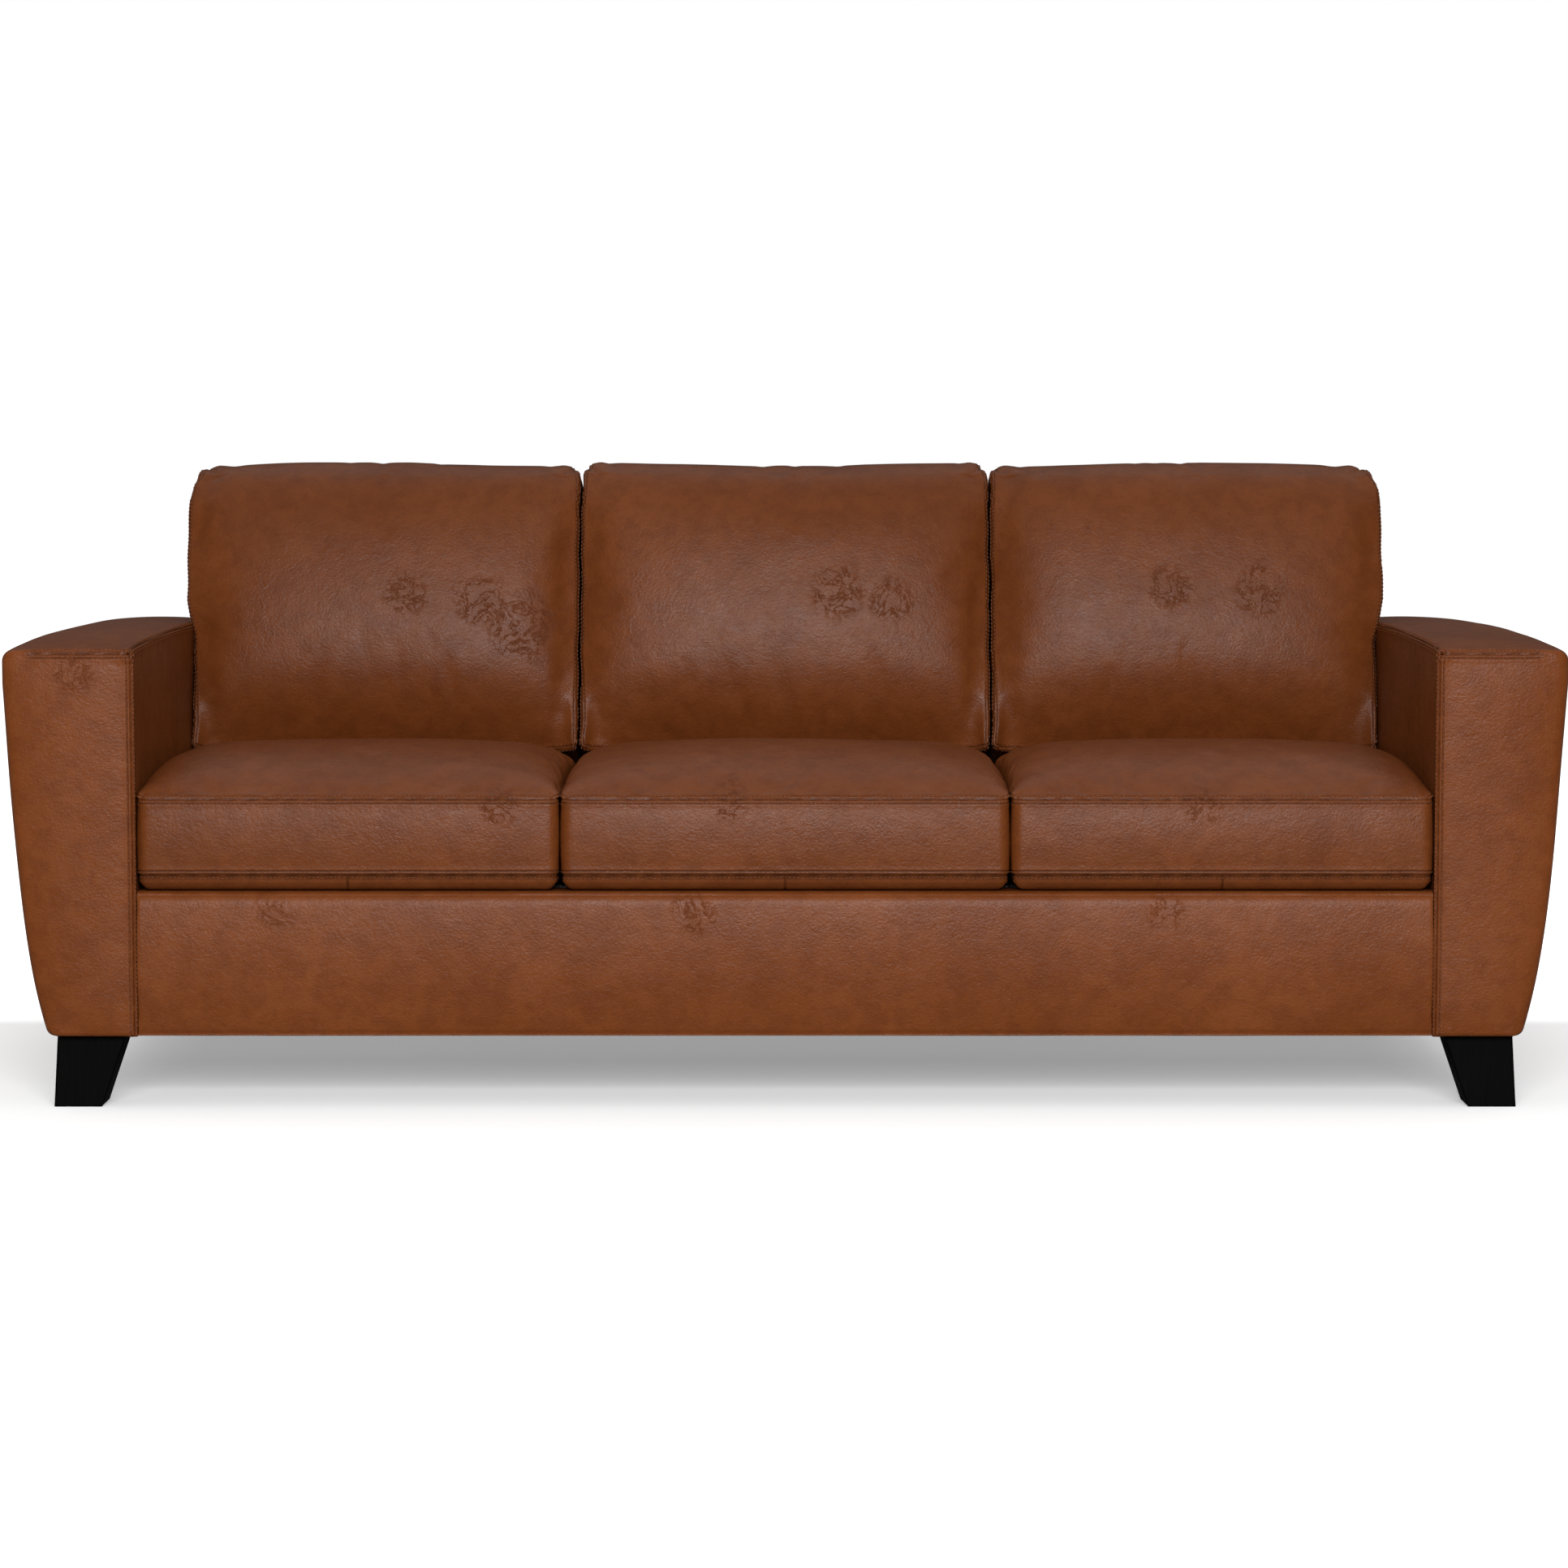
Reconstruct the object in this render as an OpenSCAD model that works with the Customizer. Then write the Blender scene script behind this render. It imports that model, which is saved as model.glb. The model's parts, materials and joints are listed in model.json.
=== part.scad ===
// Three-seat leather sofa on four tapered wooden legs, built as a timber frame with springs, foam,
// leather covers and six loose cushions that lift away from the frame.
// Millimetres. Origin on the floor at the centre of the footprint, X to the right as seen from the
// front, -Y towards the sitter, +Z up.

/* [Overall] */
// Width across both arms
sofa_w = 2184; // [2000:2:2400]
// Depth from the front of the arms to the outside back
sofa_d = 965; // [940:5:1000]
// Height of the arm tops
arm_h = 650; // [620:5:680]
// Height of the leather top of the back frame
back_h = 830; // [780:5:850]

/* [Arms] */
// Distance between the inner faces of the arms
inside_w = 1822; // [1700:2:1840]
// Radius of the outer top edge of an arm
arm_corner_r = 18; // [10:1:60]
// Inward lean of the outer side, measured at the foot
side_lean = 34; // [0:1:40]
// Extra tuck of the outer side right at the foot
side_tuck = 25; // [0:1:30]

/* [Legs] */
// Height of a leg
leg_h = 102; // [80:1:120]
// Width of a leg at the frame
leg_top_w = 97; // [80:1:110]
// Width of a leg at the floor
leg_foot_w = 68; // [50:1:80]
// Thickness of a leg front to back
leg_d = 66; // [50:1:80]
// Gap between a leg and the front or rear face
leg_setback = 22; // [15:1:40]

/* [Seat] */
// Height of the deck at its front edge
deck_h = 308.7; // [290:0.1:320]
// Fall of the deck towards the rear, degrees
deck_pitch = 2; // [1:0.5:3]
// Length of a seat cushion front to back
seat_d = 735; // [700:1:735]
// Width of the middle cushion
mid_w = 632; // [560:1:660]
// Greatest thickness of a seat cushion
seat_crown = 201; // [180:1:205]
// Thickness of a seat cushion at its front seam
seat_front_h = 129; // [110:1:140]

/* [Back] */
// Lean of the inside back, degrees
back_rake = 12; // [8:1:15]
// Height of a back cushion along the rake
back_cushion_h = 460; // [420:5:480]
// Thickness of a back cushion at its foot
back_cushion_t = 216; // [180:1:220]

/* [Layers] */
// Thickness of the leather
leather_t = 2; // [1.5:0.1:2.5]
// Thickness of the foam over the frame
foam_t = 18; // [12:1:20]
// Thickness of the frame boards
board_t = 22; // [18:1:25]
// Clearance between a loose cushion and anything beside it
gap = 0.5; // [0.3:0.1:1]

/* [Springs] */
// Number of sinuous springs in the deck
spring_count = 10; // [6:1:14]
// Wire radius of a spring
wire_r = 1.9; // [1.5:0.1:2.5]
// Width of the zigzag of a spring
spring_w = 64; // [60:1:80]
// Number of rungs in a spring
rung_count = 17; // [15:2:21]

/* [Hidden] */
$fn = 48;
leather = [0.47, 0.26, 0.17];
leather_dark = [0.36, 0.19, 0.12];
foam = [0.93, 0.88, 0.70];
timber = [0.80, 0.64, 0.42];
plywood = [0.86, 0.74, 0.55];
black_wood = [0.06, 0.05, 0.05];
steel = [0.62, 0.63, 0.65];
black_cloth = [0.12, 0.12, 0.13];
webbing = [0.55, 0.42, 0.28];

half_w = sofa_w / 2;
inside = inside_w / 2;
front = -sofa_d / 2;
rear = sofa_d / 2;
eps = 0.01;                     // overshoot of a cutting tool
widest_z = arm_h - 49;          // height at which an arm is widest
foot_z = leg_h + 1;             // underside of the padded body
dust_t = 1;                     // thickness of the dust cover
plate_t = 3;                    // thickness of a leg plate
base_z = foot_z + plate_t;      // underside of the frame boards
skin_in = leather_t;            // inset of the foam from the outside of the leather
pad_in = leather_t + foam_t;    // inset of the frame from the outside of the leather
side_pad = 12;                  // inset of the frame at the outer side of an arm
panel_t = 3;                    // fibreboard in the outer side of an arm
inner_board_x = inside + board_t;
inner_board_t = 12;
rail_in = 3;                    // setback of the front rail from the arm fronts
front_lip = 80;                 // how far the rail cover reaches back over the deck
deck_back = 735.5;              // rear edge of the deck, along the deck
cloth_t = 2;                    // deck cloth
seam_play = 0.15;               // keeps the deck cloth off the slanting end of the rail cover
deck_pad_t = 12;                // pad between the springs and the deck cloth
pad_start = 29;                 // front edge of the deck pad, along the deck
spring_t = -(cloth_t + deck_pad_t + wire_r);
rail_top_t = spring_t - wire_r;
clip_play = 0.1;                // keeps the clips off the sloping rail tops
rail_board_t = 25;              // thickness of the front, rear and lower back rails
stretcher_top = 190;
rear_rail_top = 270;
post_foot = rear_rail_top;
back_foot_y = front + 740;      // inside back where it meets the reference height
back_foot_z = 300;
webbing_t = 1.5;
webbing_w = 50;
spring_front = 36;              // first rung of a spring, along the deck
spring_rear = 752;              // last rung of a spring, along the deck
bolt_r = 4;                     // hanger bolt
bolt_play = 0.05;
bolt_len = 70;
block_h = 44;
block_x = half_w - side_lean - side_tuck - side_pad - 8;
zip_w = 420;
zip_h = 8;
zip_t = 2.4;
cover_t = 1.5;                  // leather of a cushion cover
core_in = 2;                    // inset of a cushion core
corner_in_plan = 26;            // plan radius of a cushion corner
cushion_edges = [
    [-inside + gap, -mid_w / 2 - 2 * gap],
    [-mid_w / 2, mid_w / 2],
    [mid_w / 2 + 2 * gap, inside - gap]
];
leg_x = inside + 19;            // inner top edge of a leg
leg_splay = 6;                  // outward lean of a leg's outer edge
leg_slots = [for (sx = [-1, 1], y = [front + leg_setback, rear - leg_setback - leg_d]) [sx, y]];
bolt_x = leg_x + leg_top_w - leg_foot_w / 2 - 8;

// ---------- helpers ----------

// height of the deck surface at a place front to back
function deck_z(y) = deck_h - (y - front) * tan(deck_pitch);
// place of the inside back surface at a height
function back_y(z) = back_foot_y + (z - back_foot_z) * tan(back_rake);

// a Y-Z outline becomes a board from x0 to x1
module across(x0, x1) {
    translate([x0, 0, 0])
        rotate([90, 0, 90])
            linear_extrude(x1 - x0) children();
}

// an X-Z outline becomes a board from y0 to y1
module along(y0, y1) {
    translate([0, y1, 0])
        rotate([90, 0, 0])
            linear_extrude(y1 - y0) children();
}

// deck frame: second axis runs back along the deck, third is square to it
module on_deck() {
    translate([0, front, deck_h])
        rotate([-deck_pitch, 0, 0]) children();
}

// rake frame: third axis runs up the inside back, -Y is its normal
module on_rake() {
    translate([0, back_foot_y, back_foot_z])
        rotate([-back_rake, 0, 0]) children();
}

module box(low, high) {
    translate(low) cube(high - low);
}

module both_sides() {
    children();
    mirror([1, 0, 0]) children();
}

// ---------- arms ----------

// outer side of an arm at a height: leans in to the foot, with a tighter tuck low down
function side_x(z) =
    let (t = max(0, (widest_z - z) / (widest_z - foot_z)))
    half_w - side_lean * t - side_tuck * pow(t, 5);

// X-Z outline of the right arm
module arm_outline() {
    top = [for (a = [90:-15:0]) [half_w - arm_corner_r * (1 - cos(a)),
                                 arm_h - arm_corner_r * (1 - sin(a))]];
    side = [for (i = [0:12]) let (z = widest_z - (widest_z - foot_z) * i / 12) [side_x(z), z]];
    polygon(concat([[inside, foot_z], [inside, arm_h]], top, side));
}

// outline of the timber inside the arm's padding
module arm_frame_outline() {
    intersection() {
        offset(delta = -side_pad) arm_outline();
        translate([inner_board_x, base_z])
            square([half_w - inner_board_x, arm_h - pad_in - base_z]);
    }
    translate([inner_board_x, base_z]) square([block_x - inner_board_x, board_t]);
}

// everything above the bottom edge of the covers
module above(z) {
    translate([0, z]) square([half_w + 1, arm_h]);
}

module arm_front_cover() {
    color(leather) along(front, front + leather_t) arm_outline();
}

module arm_side_cover() {
    color(leather) along(front + leather_t, rear - leather_t) difference() {
        arm_outline();
        offset(delta = -leather_t) arm_outline();
        translate([inside - eps, foot_z - eps])
            square([leather_t + 2 * eps, arm_h - leather_t - foot_z + eps]);
        translate([inside, foot_z - eps])
            square([half_w - inside - side_lean - side_tuck - leather_t, leather_t + 2 * eps]);
    }
}

module arm_inner_cover() {
    color(leather_dark)
        box([inside, front + leather_t, deck_z(rear)], [inside + leather_t, rear - leather_t, arm_h - leather_t]);
}

module arm_rear_cover() {
    color(leather) along(rear - leather_t, rear) arm_outline();
}

module arm_foam() {
    color(foam) {
        along(front + skin_in, front + pad_in) intersection() {
            offset(delta = -skin_in) arm_outline();
            above(base_z);
        }
        along(front + pad_in, rear - skin_in) difference() {
            intersection() {
                offset(delta = -skin_in) arm_outline();
                above(base_z);
            }
            arm_frame_outline();
            translate([inside, foot_z])
                square([board_t + eps, deck_z(rear) - foot_z]);
        }
    }
}

module arm_front_former() {
    color(plywood) along(front + pad_in, front + pad_in + board_t) arm_frame_outline();
}

module arm_rear_former() {
    color(plywood) along(rear - skin_in - board_t, rear - skin_in) arm_frame_outline();
}

module arm_inner_board() {
    color(plywood)
        box([inner_board_x, front + pad_in + board_t, base_z],
            [inner_board_x + inner_board_t, rear - skin_in - board_t, arm_h - pad_in - board_t]);
}

module arm_top_board() {
    color(timber)
        along(front + pad_in + board_t, rear - skin_in - board_t) intersection() {
            arm_frame_outline();
            above(arm_h - pad_in - board_t);
        }
}

module arm_outer_panel() {
    color([0.50, 0.36, 0.24])
        along(front + pad_in + board_t, rear - skin_in - board_t) difference() {
            arm_frame_outline();
            offset(delta = -side_pad - panel_t) arm_outline();
            above(arm_h - pad_in - board_t);
            square([half_w - side_pad - 80, arm_h]);
            square([half_w, foot_z + side_pad + panel_t + 1]);
        }
}

// ---------- legs and underside ----------

// tapered leg with a sloping inner edge
module leg() {
    color(black_wood) along(0, leg_d)
        polygon([[leg_x, leg_h], [leg_x + leg_top_w, leg_h],
                 [leg_x + leg_top_w + leg_splay, 0],
                 [leg_x + leg_top_w + leg_splay - leg_foot_w, 0]]);
}

module placed_leg(side, y) {
    difference() {
        translate([0, y, 0])
            if (side > 0) leg();
            else mirror([1, 0, 0]) leg();
        translate([side * bolt_x, y + leg_d / 2, leg_h - bolt_len / 2])
            cylinder(r = bolt_r + bolt_play, h = bolt_len);
    }
}

module at_bolts() {
    for (s = leg_slots)
        translate([s[0] * bolt_x, s[1] + leg_d / 2, 0]) children();
}

module bolt_bores() {
    at_bolts() cylinder(r = bolt_r + bolt_play, h = arm_h);
}

module leg_plates() {
    color(steel) difference() {
        at_bolts() translate([-36, -30, foot_z]) cube([72, 60, plate_t]);
        bolt_bores();
    }
}

module hanger_bolts() {
    color(steel) at_bolts() translate([0, 0, leg_h - bolt_len / 2])
        cylinder(r = bolt_r, h = bolt_len);
}

module leg_blocks() {
    color(timber) difference() {
        both_sides() {
            box([inner_board_x + inner_board_t, front + pad_in + board_t, base_z],
                [block_x, front + pad_in + board_t + leg_d, base_z + block_h]);
            box([inner_board_x + inner_board_t, rear - skin_in - board_t - leg_d - 14, base_z],
                [block_x, rear - skin_in - board_t, base_z + block_h]);
        }
        bolt_bores();
    }
}

module dust_cover() {
    color(black_cloth) difference() {
        box([-inside - 108, front + 26, leg_h], [inside + 108, rear - 12, leg_h + dust_t]);
        bolt_bores();
    }
}

// ---------- seat frame ----------

// Y-Z outline of a board under the deck, its top following the fall of the deck
module under_deck(y0, y1) {
    polygon([[y0, base_z], [y1, base_z],
             [y1, deck_z(y1) + rail_top_t], [y0, deck_z(y0) + rail_top_t]]);
}

module front_rail() {
    y0 = front + rail_in + pad_in;
    color(timber) across(-inside, inside) under_deck(y0, y0 + rail_board_t);
}

module rear_rail() {
    color(timber)
        box([-inside, rear - skin_in - rail_board_t, base_z],
            [inside, rear - skin_in, rear_rail_top]);
}

module end_rails() {
    color(timber) both_sides()
        box([inside, front + rail_in + pad_in, base_z],
            [inner_board_x, rear - skin_in, deck_z(rear)]);
}

module seat_stretchers() {
    color(timber) for (x = [-inside / 2, 0, inside / 2])
        box([x - board_t / 2, front + rail_in + pad_in + rail_board_t, base_z],
            [x + board_t / 2, rear - skin_in - rail_board_t, stretcher_top]);
}

module back_lower_rail() {
    y0 = front + spring_rear - 7;
    color(timber) across(-inside, inside)
        polygon([[y0, stretcher_top], [y0 + rail_board_t, stretcher_top],
                 [y0 + rail_board_t, deck_z(y0 + rail_board_t) + rail_top_t],
                 [y0, deck_z(y0) + rail_top_t]]);
}

// ---------- springs and deck ----------

spring_pitch = (inside_w - 120) / (spring_count - 1);
rung_gap = (spring_rear - spring_front) / (rung_count - 1);

function spring_x(i) = -inside + 60 + i * spring_pitch;

// one zigzag wire: straight rungs joined by half-round turns
module sinuous_spring() {
    straight = spring_w - rung_gap;
    for (k = [0:rung_count - 1])
        translate([-straight / 2, spring_front + k * rung_gap, spring_t])
            rotate([0, 90, 0]) cylinder(r = wire_r, h = straight);
    for (k = [0:rung_count - 2])
        translate([(k % 2 == 0 ? 1 : -1) * straight / 2, spring_front + (k + 0.5) * rung_gap, spring_t])
            rotate([0, 0, k % 2 == 0 ? -90 : 90])
                rotate_extrude(angle = 180) translate([rung_gap / 2, 0]) circle(r = wire_r);
}

module seat_springs() {
    color(steel) on_deck() for (i = [0:spring_count - 1])
        translate([spring_x(i), 0, 0]) sinuous_spring();
}

module spring_clips() {
    color(steel) on_deck() for (i = [0:spring_count - 1], s = [spring_front, spring_rear])
        translate([spring_x(i) - 8, s - 6, rail_top_t + clip_play]) difference() {
            cube([16, 12, 2 * wire_r - clip_play]);
            translate([-1, 6, wire_r - clip_play]) rotate([0, 90, 0]) cylinder(r = wire_r + eps, h = 18);
        }
}

module spring_tie_wires() {
    color(steel) on_deck() for (s = [spring_front + 5 * rung_gap, spring_front + 11 * rung_gap])
        translate([-inside + 8, s, spring_t - 2 * wire_r + 0.2])
            rotate([0, 90, 0]) cylinder(r = wire_r - 0.4, h = inside_w - 16);
}

module deck_pad() {
    color(foam) on_deck()
        box([-inside, pad_start, -cloth_t - deck_pad_t], [inside, deck_back, -cloth_t]);
}

module deck_cloth() {
    color(black_cloth) on_deck()
        box([-inside, front_lip + seam_play, -cloth_t], [inside, deck_back, 0]);
}

// ---------- front rail covering ----------

// Y-Z outline of the padded front rail
module rail_outline() {
    y0 = front + rail_in;
    lip_y = front + front_lip * cos(deck_pitch);
    polygon([[y0, foot_z], [y0, deck_z(y0) - 8], [y0 + 3, deck_z(y0) - 2],
             [y0 + 9, deck_z(y0 + 9)], [lip_y, deck_z(lip_y)], [lip_y, foot_z]]);
}

module front_rail_cover() {
    lip_y = front + front_lip * cos(deck_pitch);
    color(leather) across(-inside, inside) difference() {
        rail_outline();
        offset(delta = -leather_t) rail_outline();
        translate([front + rail_in + leather_t, foot_z - 1]) square([front_lip, leather_t + 1.01]);
        translate([lip_y - leather_t - eps, foot_z - 1])
            square([leather_t + 2, deck_z(lip_y - leather_t) - foot_z + 1 - leather_t]);
    }
}

module front_rail_foam() {
    y0 = front + rail_in;
    color(foam) across(-inside, inside) difference() {
        offset(delta = -leather_t) rail_outline();
        translate([y0 + pad_in, 0]) square([front_lip, deck_z(y0 + pad_in) + rail_top_t]);
        translate([front + pad_start - 1, 0]) square([front_lip, arm_h]);
        translate([y0, 0]) square([front_lip, base_z]);
    }
}

// ---------- back frame ----------

// Y-Z outline of the whole upholstered back
module back_outline() {
    r = 40;
    nose_y = back_y(back_h - r) + r / cos(back_rake);
    nose = [for (a = [180 - back_rake:-13:90]) [nose_y + r * cos(a), back_h - r * (1 - sin(a))]];
    crown = [for (a = [90:-30:0]) [rear - 12 * (1 - cos(a)), back_h - 12 * (1 - sin(a))]];
    polygon(concat([[back_y(deck_z(back_foot_y) + 1), deck_z(back_foot_y) + 1]], nose, crown,
                   [[rear, foot_z], [rear - 40, foot_z],
                    [rear - 40, deck_z(back_foot_y) + 1]]));
}

// leather over the front, top and both ends of the back
module inside_back_cover() {
    color(leather_dark) difference() {
        across(-inside, inside) intersection() {
            back_outline();
            translate([front, deck_z(back_foot_y) + 1]) square([sofa_d - leather_t, sofa_d]);
        }
        across(-inside + leather_t, inside - leather_t) {
            offset(delta = -leather_t) back_outline();
            translate([rear - 60, 0]) square([sofa_d, back_h - leather_t - 10]);
        }
        across(-inside + leather_t, inside - leather_t)
            polygon([[back_y(0) + leather_t / cos(back_rake), 0], [rear, 0], [rear, back_foot_z + 20],
                     [back_y(back_foot_z + 20) + leather_t / cos(back_rake), back_foot_z + 20]]);
    }
}

module outside_back_cover() {
    color(leather) across(-inside, inside)
        translate([rear - leather_t, foot_z]) square([leather_t, back_h - 14 - foot_z]);
}

// Y-Z outline of the timber inside the back's padding
module back_timber_outline(play) {
    inset = (pad_in + webbing_t + play) / cos(back_rake);
    top = back_h - pad_in;
    polygon([[back_y(post_foot) + inset, post_foot], [rear - skin_in, post_foot],
             [rear - skin_in, top], [back_y(top) + inset, top]]);
}

module back_foam() {
    front_in = pad_in / cos(back_rake);
    low = deck_z(back_foot_y) + 3;
    top = back_h - pad_in;
    color(foam) across(-inside + leather_t, inside - leather_t) difference() {
        intersection() {
            offset(delta = -leather_t) back_outline();
            translate([front, low]) square([sofa_d - 14, sofa_d]);
        }
        polygon([[back_y(0) + front_in, 0], [rear + 1, 0], [rear + 1, top], [back_y(top) + front_in, top]]);
    }
}

module back_posts() {
    end_x = inside - leather_t - board_t / 2;
    color(timber) for (x = [-end_x, -mid_w / 2, mid_w / 2, end_x])
        across(x - board_t / 2, x + board_t / 2) intersection() {
            back_timber_outline(0.3);
            translate([0, post_foot]) square([rear, back_h - pad_in - board_t - post_foot]);
        }
}

module back_top_rail() {
    color(timber) across(-inside + leather_t, inside - leather_t) intersection() {
        back_timber_outline(0.3);
        translate([0, back_h - pad_in - board_t]) square([rear, board_t]);
    }
}

module back_webbing() {
    top = (back_h - pad_in - back_foot_z) / cos(back_rake) - 2;
    foot = 26;
    color(webbing) on_rake() for (i = [0:11])
        translate([-inside + 90 + i * (inside_w - 180) / 11 - webbing_w / 2, pad_in, -foot])
            cube([webbing_w, webbing_t, top + foot]);
}

// ---------- loose cushions ----------

// thickness of a seat cushion at a place along its length: a quick rise behind the front seam to the
// crown, then a long fall to the rear
crown_s = 290;
fall_r = 1547;
function seat_top(s) = s < crown_s
    ? seat_crown - (seat_crown - seat_front_h) * pow((crown_s - s) / crown_s, 2.5)
    : seat_crown - pow(s - crown_s, 2) / (2 * fall_r);

// side outline of a seat cushion in the deck frame
module seat_side() {
    steps = 14;
    top = [for (i = [0:steps]) let (s = seat_d * i / steps) [s, seat_top(s)]];
    polygon(concat([[22, gap], [6, 7], [0, 24]], top, [[seat_d, 20], [seat_d - 14, gap]]));
}

// front outline of a seat cushion: a shallow crown between its side seams
module seat_front(w) {
    drop = 42;
    steps = 12;
    top = [for (i = [0:steps]) let (u = i / steps * 2 - 1)
        [w / 2 * u, seat_crown - drop * pow(abs(u), 3.2)]];
    polygon(concat([[w / 2, gap]], [[-w / 2, gap]], top));
}

module rounded_plan(w, d, r) {
    offset(r = r) offset(delta = -r) square([w, d]);
}

module seat_solid(w, inset) {
    intersection() {
        across(-w / 2 + inset, w / 2 - inset) offset(delta = -inset) seat_side();
        along(0, seat_d) offset(delta = -inset) seat_front(w);
        translate([0, 0, -1]) linear_extrude(seat_crown + 2)
            offset(delta = -inset) translate([-w / 2, 0]) rounded_plan(w, seat_d, corner_in_plan);
    }
}

// side outline of a back cushion in the rake frame: Y forward is negative, Z up the rake
module back_side() {
    t0 = back_cushion_t;
    t1 = back_cushion_t - 22;
    top_r = 90;
    rear_r = 40;
    foot = 128;
    top = foot + back_cushion_h;
    nose = [for (a = [180:-15:90]) [-t1 + top_r * (1 + cos(a)), top - top_r * (1 - sin(a))]];
    heel = [for (a = [90:-30:0]) [-gap - rear_r * (1 - cos(a)), top - rear_r * (1 - sin(a))]];
    polygon(concat([[-gap - 10, foot], [-t0 + 16, foot], [-t0 + 4, foot + 5], [-t0, foot + 18]],
                   nose, heel, [[-gap, foot + 10]]));
}

module back_front(w) {
    foot = 128;
    r = 24;
    offset(r = r) offset(delta = -r) translate([-w / 2, foot]) square([w, back_cushion_h]);
}

module back_solid(w, inset) {
    intersection() {
        across(-w / 2 + inset, w / 2 - inset) offset(delta = -inset) back_side();
        along(-back_cushion_t, 0) offset(delta = -inset) back_front(w);
    }
}

// places a seat or back cushion's solid between its neighbours
module cushion_place(i) {
    translate([(cushion_edges[i][0] + cushion_edges[i][1]) / 2, 0, 0]) children();
}

function cushion_w(i) = cushion_edges[i][1] - cushion_edges[i][0];

module seat_cover(i) {
    color(leather) on_deck() cushion_place(i) difference() {
        seat_solid(cushion_w(i), 0);
        seat_solid(cushion_w(i), cover_t);
        translate([-zip_w / 2, seat_d - 20, 60]) cube([zip_w, 30, zip_h]);
    }
}

module seat_core(i) {
    color(foam) on_deck() cushion_place(i) seat_solid(cushion_w(i), core_in);
}

module seat_zip(i) {
    color(steel) on_deck() cushion_place(i)
        translate([-zip_w / 2, seat_d - cover_t, 60]) cube([zip_w, cover_t, zip_h]);
}

module back_cushion_cover(i) {
    color(leather) on_rake() cushion_place(i) difference() {
        back_solid(cushion_w(i), 0);
        back_solid(cushion_w(i), cover_t);
        translate([-zip_w / 2, -20, 170]) cube([zip_w, 30, zip_h]);
    }
}

module back_cushion_core(i) {
    color(foam) on_rake() cushion_place(i) back_solid(cushion_w(i), core_in);
}

module back_cushion_zip(i) {
    color(steel) on_rake() cushion_place(i)
        translate([-zip_w / 2, -gap - cover_t, 170]) cube([zip_w, cover_t, zip_h]);
}

// ---------- nodes ----------

placed_leg(-1, front + leg_setback);  // front_left_leg
placed_leg(1, front + leg_setback);  // front_right_leg
placed_leg(-1, rear - leg_setback - leg_d);  // rear_left_leg
placed_leg(1, rear - leg_setback - leg_d);  // rear_right_leg
leg_plates();
hanger_bolts();
leg_blocks();
dust_cover();
front_rail();
rear_rail();
end_rails();
seat_stretchers();
mirror([1, 0, 0]) arm_inner_board();  // left_arm_inner_board
arm_inner_board();  // right_arm_inner_board
both_sides() arm_front_former();  // arm_front_formers
both_sides() arm_rear_former();  // arm_rear_formers
both_sides() arm_top_board();  // arm_top_boards
both_sides() arm_outer_panel();  // arm_outer_panels
back_posts();
back_top_rail();
back_lower_rail();
back_webbing();
seat_springs();
spring_clips();
spring_tie_wires();
deck_pad();
deck_cloth();
mirror([1, 0, 0]) arm_foam();  // left_arm_foam
arm_foam();  // right_arm_foam
front_rail_foam();
back_foam();
mirror([1, 0, 0]) arm_front_cover();  // left_arm_front_cover
arm_front_cover();  // right_arm_front_cover
mirror([1, 0, 0]) arm_side_cover();  // left_arm_side_cover
arm_side_cover();  // right_arm_side_cover
mirror([1, 0, 0]) arm_inner_cover();  // left_arm_inner_cover
arm_inner_cover();  // right_arm_inner_cover
both_sides() arm_rear_cover();  // arm_rear_covers
front_rail_cover();
inside_back_cover();
outside_back_cover();
seat_cover(0);  // left_seat_cover
seat_core(0);  // left_seat_core
seat_zip(0);  // left_seat_zip
seat_cover(1);  // middle_seat_cover
seat_core(1);  // middle_seat_core
seat_zip(1);  // middle_seat_zip
seat_cover(2);  // right_seat_cover
seat_core(2);  // right_seat_core
seat_zip(2);  // right_seat_zip
back_cushion_cover(0);  // left_back_cover
back_cushion_core(0);  // left_back_core
back_cushion_zip(0);  // left_back_zip
back_cushion_cover(1);  // middle_back_cover
back_cushion_core(1);  // middle_back_core
back_cushion_zip(1);  // middle_back_zip
back_cushion_cover(2);  // right_back_cover
back_cushion_core(2);  // right_back_core
back_cushion_zip(2);  // right_back_zip
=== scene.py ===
import json
import math

import bpy
import numpy as np
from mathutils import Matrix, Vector, noise
from mathutils.bvhtree import BVHTree
from mathutils.kdtree import KDTree

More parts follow.
